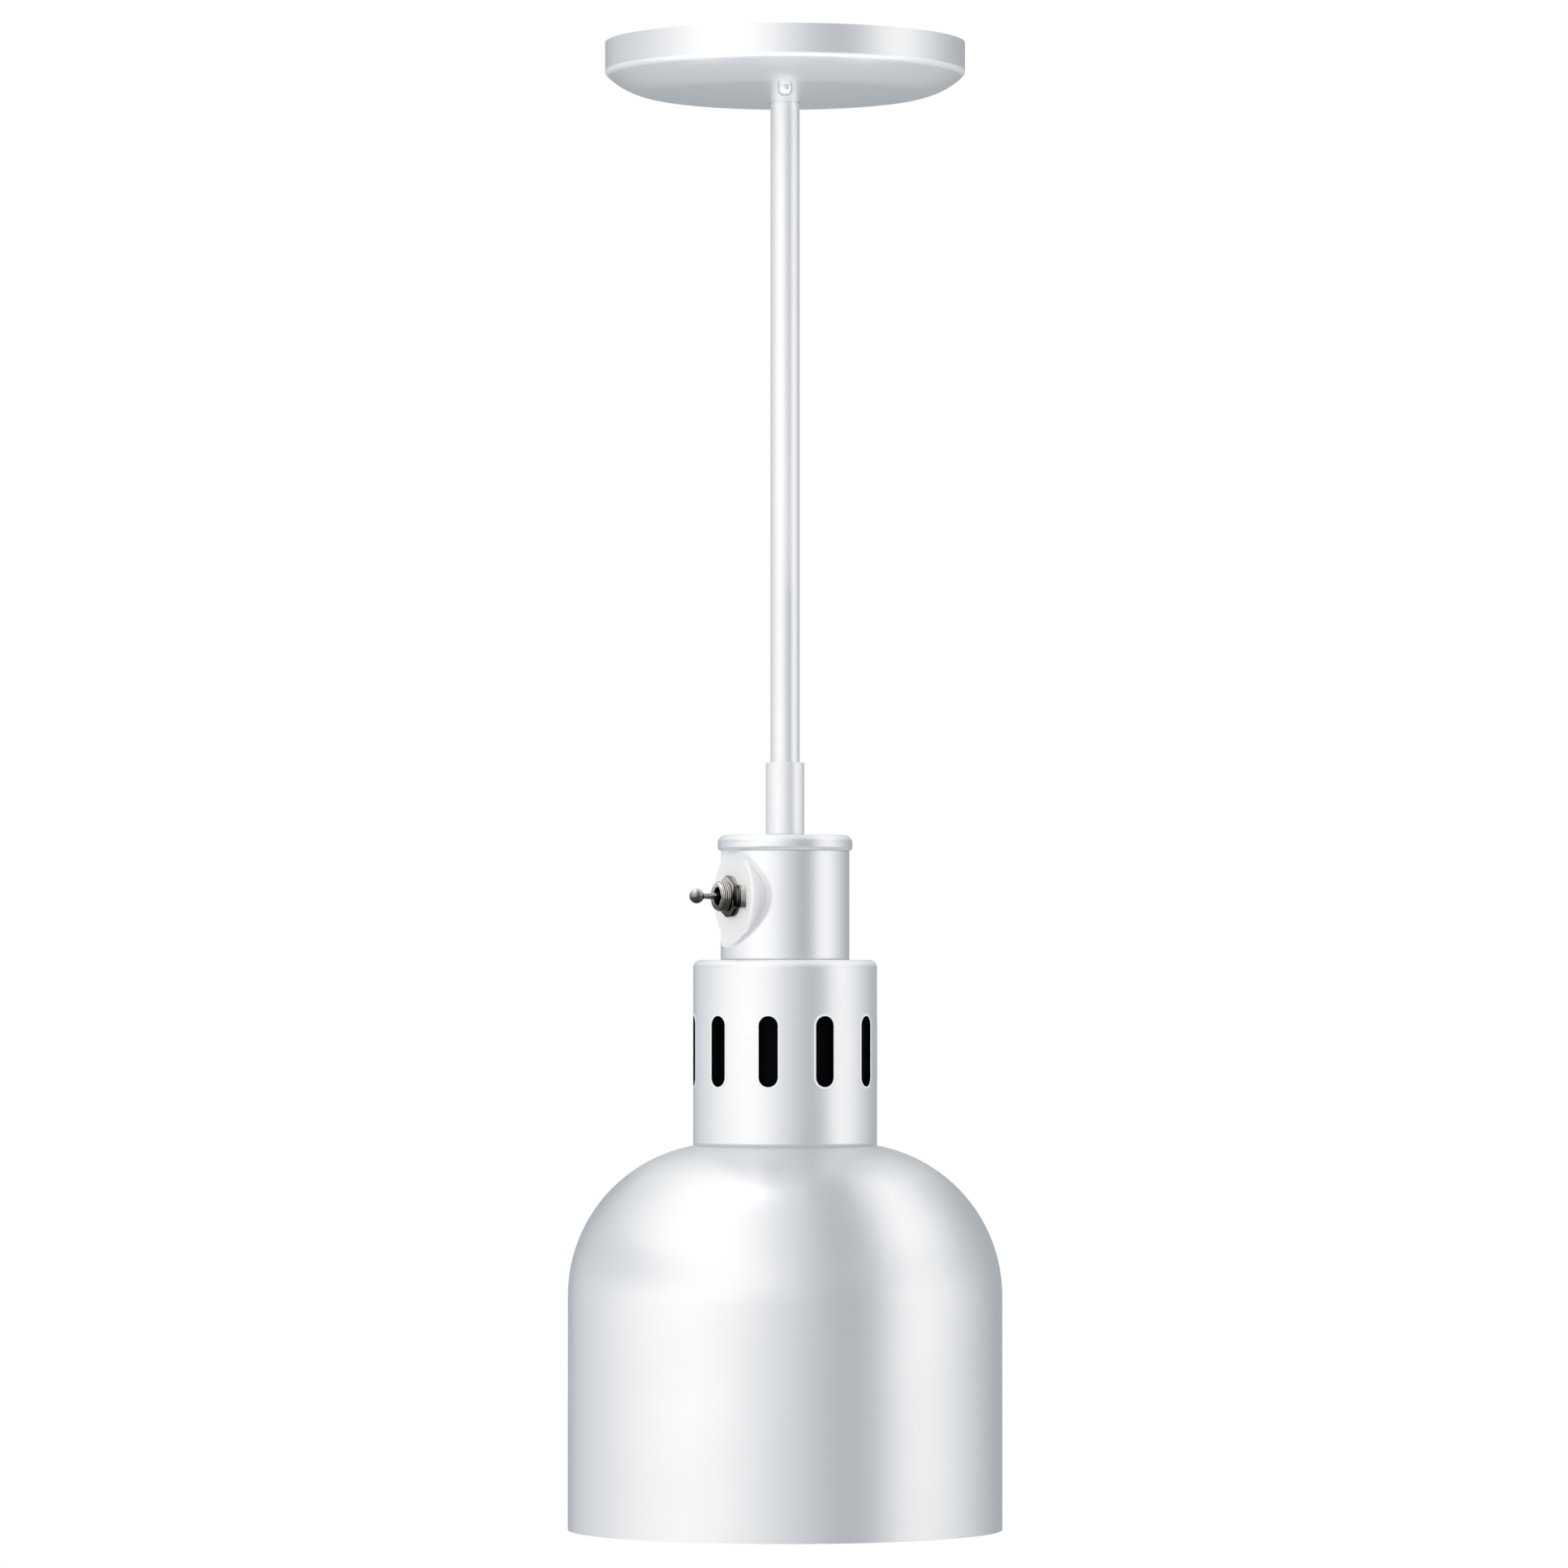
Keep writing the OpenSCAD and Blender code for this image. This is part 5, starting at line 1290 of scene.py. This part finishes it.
class HEATLAMP_OT_leads(bpy.types.Operator):
    """Covers the leads with braided sleeving"""

    bl_idname = "heat_lamp.leads"
    bl_label = "Braided leads"

    def execute(self, context):
        values = context.scene.heat_lamp_wire
        for part in ("line", "switched", "neutral", "ground"):
            tint = getattr(values, part)
            material, tree, shader, vector = start(part + "_sleeving")
            skin = use(tree, "braid", vector, Pitch=values.weave)
            shade = blend_colour(tree, skin["Thread"], rgba(scaled(tint, 0.55)), rgba(tint))
            put(tree, shade, shader, "Base Color")
            put(tree, span(tree, skin["Thread"], 0.0, 1.0, 0.75, 0.5), shader, "Roughness")
            bump(tree, shader, skin["Height"], strength=0.6, distance=0.00015)
            finish_tree(material, Sheen_Weight=0.15)
            give(material, part + "_lead")
        return {"FINISHED"}


# ---- Added pieces ----

LIP_CORNERS = 44  # even, so that after half a step's turn none lies level with the slot's middle
LIP_SINK = 0.00005  # how deep the lip's foot lies in the sleeve


class HEATLAMP_OT_slot_lips(bpy.types.Operator):
    """Adds the thin painted lip round each of the sleeve's vent slots"""

    bl_idname = "heat_lamp.slot_lips"
    bl_label = "Vent slot lips"

    def execute(self, context):
        values = context.scene.heat_lamp_detail
        paint = context.scene.heat_lamp_enamel
        sleeve = NODES["vent_sleeve"]
        place, _ = spot("lip_2_top", sleeve)
        step = 2 * math.pi / values.slot_count
        turn, middle = self.nearest_slot(sleeve, math.atan2(place.y, place.x), step)
        lip = self.first_lip(values, middle)
        # The lips wear the pale enamel, a painted highlight round each slot.
        material = enamel("silver_enamel_lip", paint, paint.flat_metal, paint.highlight_enamel_tint)
        for count in range(values.slot_count):
            made = turned_copy(lip, "slot_lip_%02d" % (count + 1), turn + count * step)
            finish_piece(made, material, "fixture")
        bpy.data.objects.remove(lip, do_unlink=True)
        return {"FINISHED"}

    def nearest_slot(self, sleeve, turn, step):
        """The turn and the height of the slot next to a turn, from the sleeve's own corners."""
        least_r = SLEEVE_R - 0.0002
        low, high = SLEEVE_LO.z + 0.01, SLEEVE_HI.z - 0.01
        turns, heights = [], []
        for corner in sleeve.data.vertices:
            at = corner.co
            if math.hypot(at.x, at.y) < least_r or not low < at.z < high:
                continue
            apart = (math.atan2(at.y, at.x) - turn + math.pi) % (2 * math.pi) - math.pi
            if abs(apart) < step / 2:
                turns.append(apart)
                heights.append(at.z)
        if not turns:
            raise RuntimeError("no vent slot was found next to its image point")
        return turn + (min(turns) + max(turns)) / 2, (min(heights) + max(heights)) / 2

    def first_lip(self, values, middle):
        """A flat ring round the slot's outline, wrapped on the sleeve and given a rounded wall."""
        outer = values.slot_width / 2 + values.lip_width
        half = (values.slot_length - values.slot_width) / 2
        nothing()
        bpy.ops.mesh.primitive_circle_add(
            vertices=LIP_CORNERS, radius=outer, fill_type="NGON", location=(SLEEVE_R, 0.0, middle),
            rotation=(math.pi / 2, math.pi / LIP_CORNERS, math.pi / 2),
        )
        lip = named("slot_lip")
        settle(lip)
        bpy.ops.object.mode_set(mode="EDIT")
        for side in (1, -1):
            pick(lip, lambda at: (at.z - middle) * side > 0)
            bpy.ops.transform.translate(value=(0.0, 0.0, side * half))
        bpy.ops.mesh.select_all(action="SELECT")
        bpy.ops.mesh.inset(thickness=values.lip_width)
        bpy.ops.mesh.delete(type="FACE")
        bpy.ops.object.mode_set(mode="OBJECT")
        modifier(lip, "CAST", cast_type="CYLINDER", factor=1.0,
                 use_radius_as_size=False, size=SLEEVE_R - LIP_SINK)
        modifier(lip, "SOLIDIFY", thickness=values.lip_height + LIP_SINK, offset=1.0)
        edit_all()
        bpy.ops.mesh.normals_make_consistent(inside=False)
        bpy.ops.object.mode_set(mode="OBJECT")
        modifier(lip, "BEVEL", width=values.lip_height * 0.45, segments=2, limit_method="ANGLE",
                 angle_limit=SMOOTH_ANGLE)
        return lip


# ---- How the image points came out ----

HIDDEN_BY = 0.0002  # a vertex counts as hidden when something is this much nearer the camera


class Sight:
    """What the camera sees of the finished object."""

    def __init__(self, pieces):
        self.tree = surface(*pieces)
        self.eye = bpy.context.scene.camera.matrix_world.translation.copy()

    def extent(self, piece, test=None):
        """What shows of a piece: its left, right, top and bottom in the image's pixels."""
        found = []
        for corner in piece.data.vertices:
            place = piece.matrix_world @ corner.co
            if test is not None and not test(place):
                continue
            way = place - self.eye
            hit = self.tree.ray_cast(self.eye, way.normalized())
            if hit[0] is None or hit[3] > way.length - HIDDEN_BY:
                found.append(shown_at(place))
        if not found:
            return None
        across, down = [at.x for at in found], [at.y for at in found]
        return [min(across), max(across), min(down), max(down)]


def write_points():
    """Finds where each thing shows in the image's pixels, next to its image point; the results are
    not kept.
    """
    pieces = [held for held in bpy.context.scene.objects if held.type == "MESH"
              and not held.hide_render and held.name not in STAGE_PIECES]
    sight = Sight(pieces)

    def middle(low, high):
        return (low + high) / 2

    def on_ball(at):
        return at.dot(SWITCH_OUT) > BALL_OUT - 0.7 * BALL_R

    left, right, top, _ = sight.extent(NODES["canopy"])
    left, right, top, bottom = sight.extent(NODES["canopy_cap_nuts"])
    left, right, top, _ = sight.extent(NODES["stem_coupling"])
    sight.extent(NODES["housing_cap"])[2]
    left, right, top, bottom = sight.extent(NODES["toggle_lever"], on_ball)
    _, _, top, bottom = sight.extent(NODES["vent_sleeve"])
    lips = [sight.extent(held) for held in pieces if held.name.startswith("slot_lip_")]
    lips = [(middle(lip[0], lip[1]), lip[2]) for lip in lips if lip]
    left, right, _, bottom = sight.extent(NODES["shade"])


# ---- The add-on ----

OPERATORS = [
    HEATLAMP_OT_camera,
    HEATLAMP_OT_stage,
    HEATLAMP_OT_enamel,
    HEATLAMP_OT_metals,
    HEATLAMP_OT_bodies,
    HEATLAMP_OT_leads,
    HEATLAMP_OT_slot_lips,
]


class HEATLAMP_PT_panel(bpy.types.Panel):
    """Every step of the lamp, in order"""

    bl_idname = "HEATLAMP_PT_panel"
    bl_label = "Heat Lamp"
    bl_space_type = "VIEW_3D"
    bl_region_type = "UI"
    bl_category = "Heat Lamp"

    def draw(self, context):
        for held in OPERATORS:
            self.layout.operator(held.bl_idname)
        for name in VALUE_GROUPS:
            box = self.layout.box()
            values = getattr(context.scene, name)
            for key in values.__annotations__:
                box.prop(values, key)


CLASSES = [*VALUE_GROUPS.values(), *OPERATORS, HEATLAMP_PT_panel]


def register():
    for held in CLASSES:
        bpy.utils.register_class(held)
    for name, held in VALUE_GROUPS.items():
        setattr(bpy.types.Scene, name, PointerProperty(type=held))


def unregister():
    for name in VALUE_GROUPS:
        delattr(bpy.types.Scene, name)
    for held in reversed(CLASSES):
        bpy.utils.unregister_class(held)


def main():
    register()
    bpy.ops.heat_lamp.camera()
    bpy.ops.heat_lamp.stage()
    bpy.ops.heat_lamp.enamel()
    bpy.ops.heat_lamp.metals()
    bpy.ops.heat_lamp.bodies()
    bpy.ops.heat_lamp.leads()
    bpy.ops.heat_lamp.slot_lips()
    nothing()
    write_points()


if __name__ == "__main__":
    main()
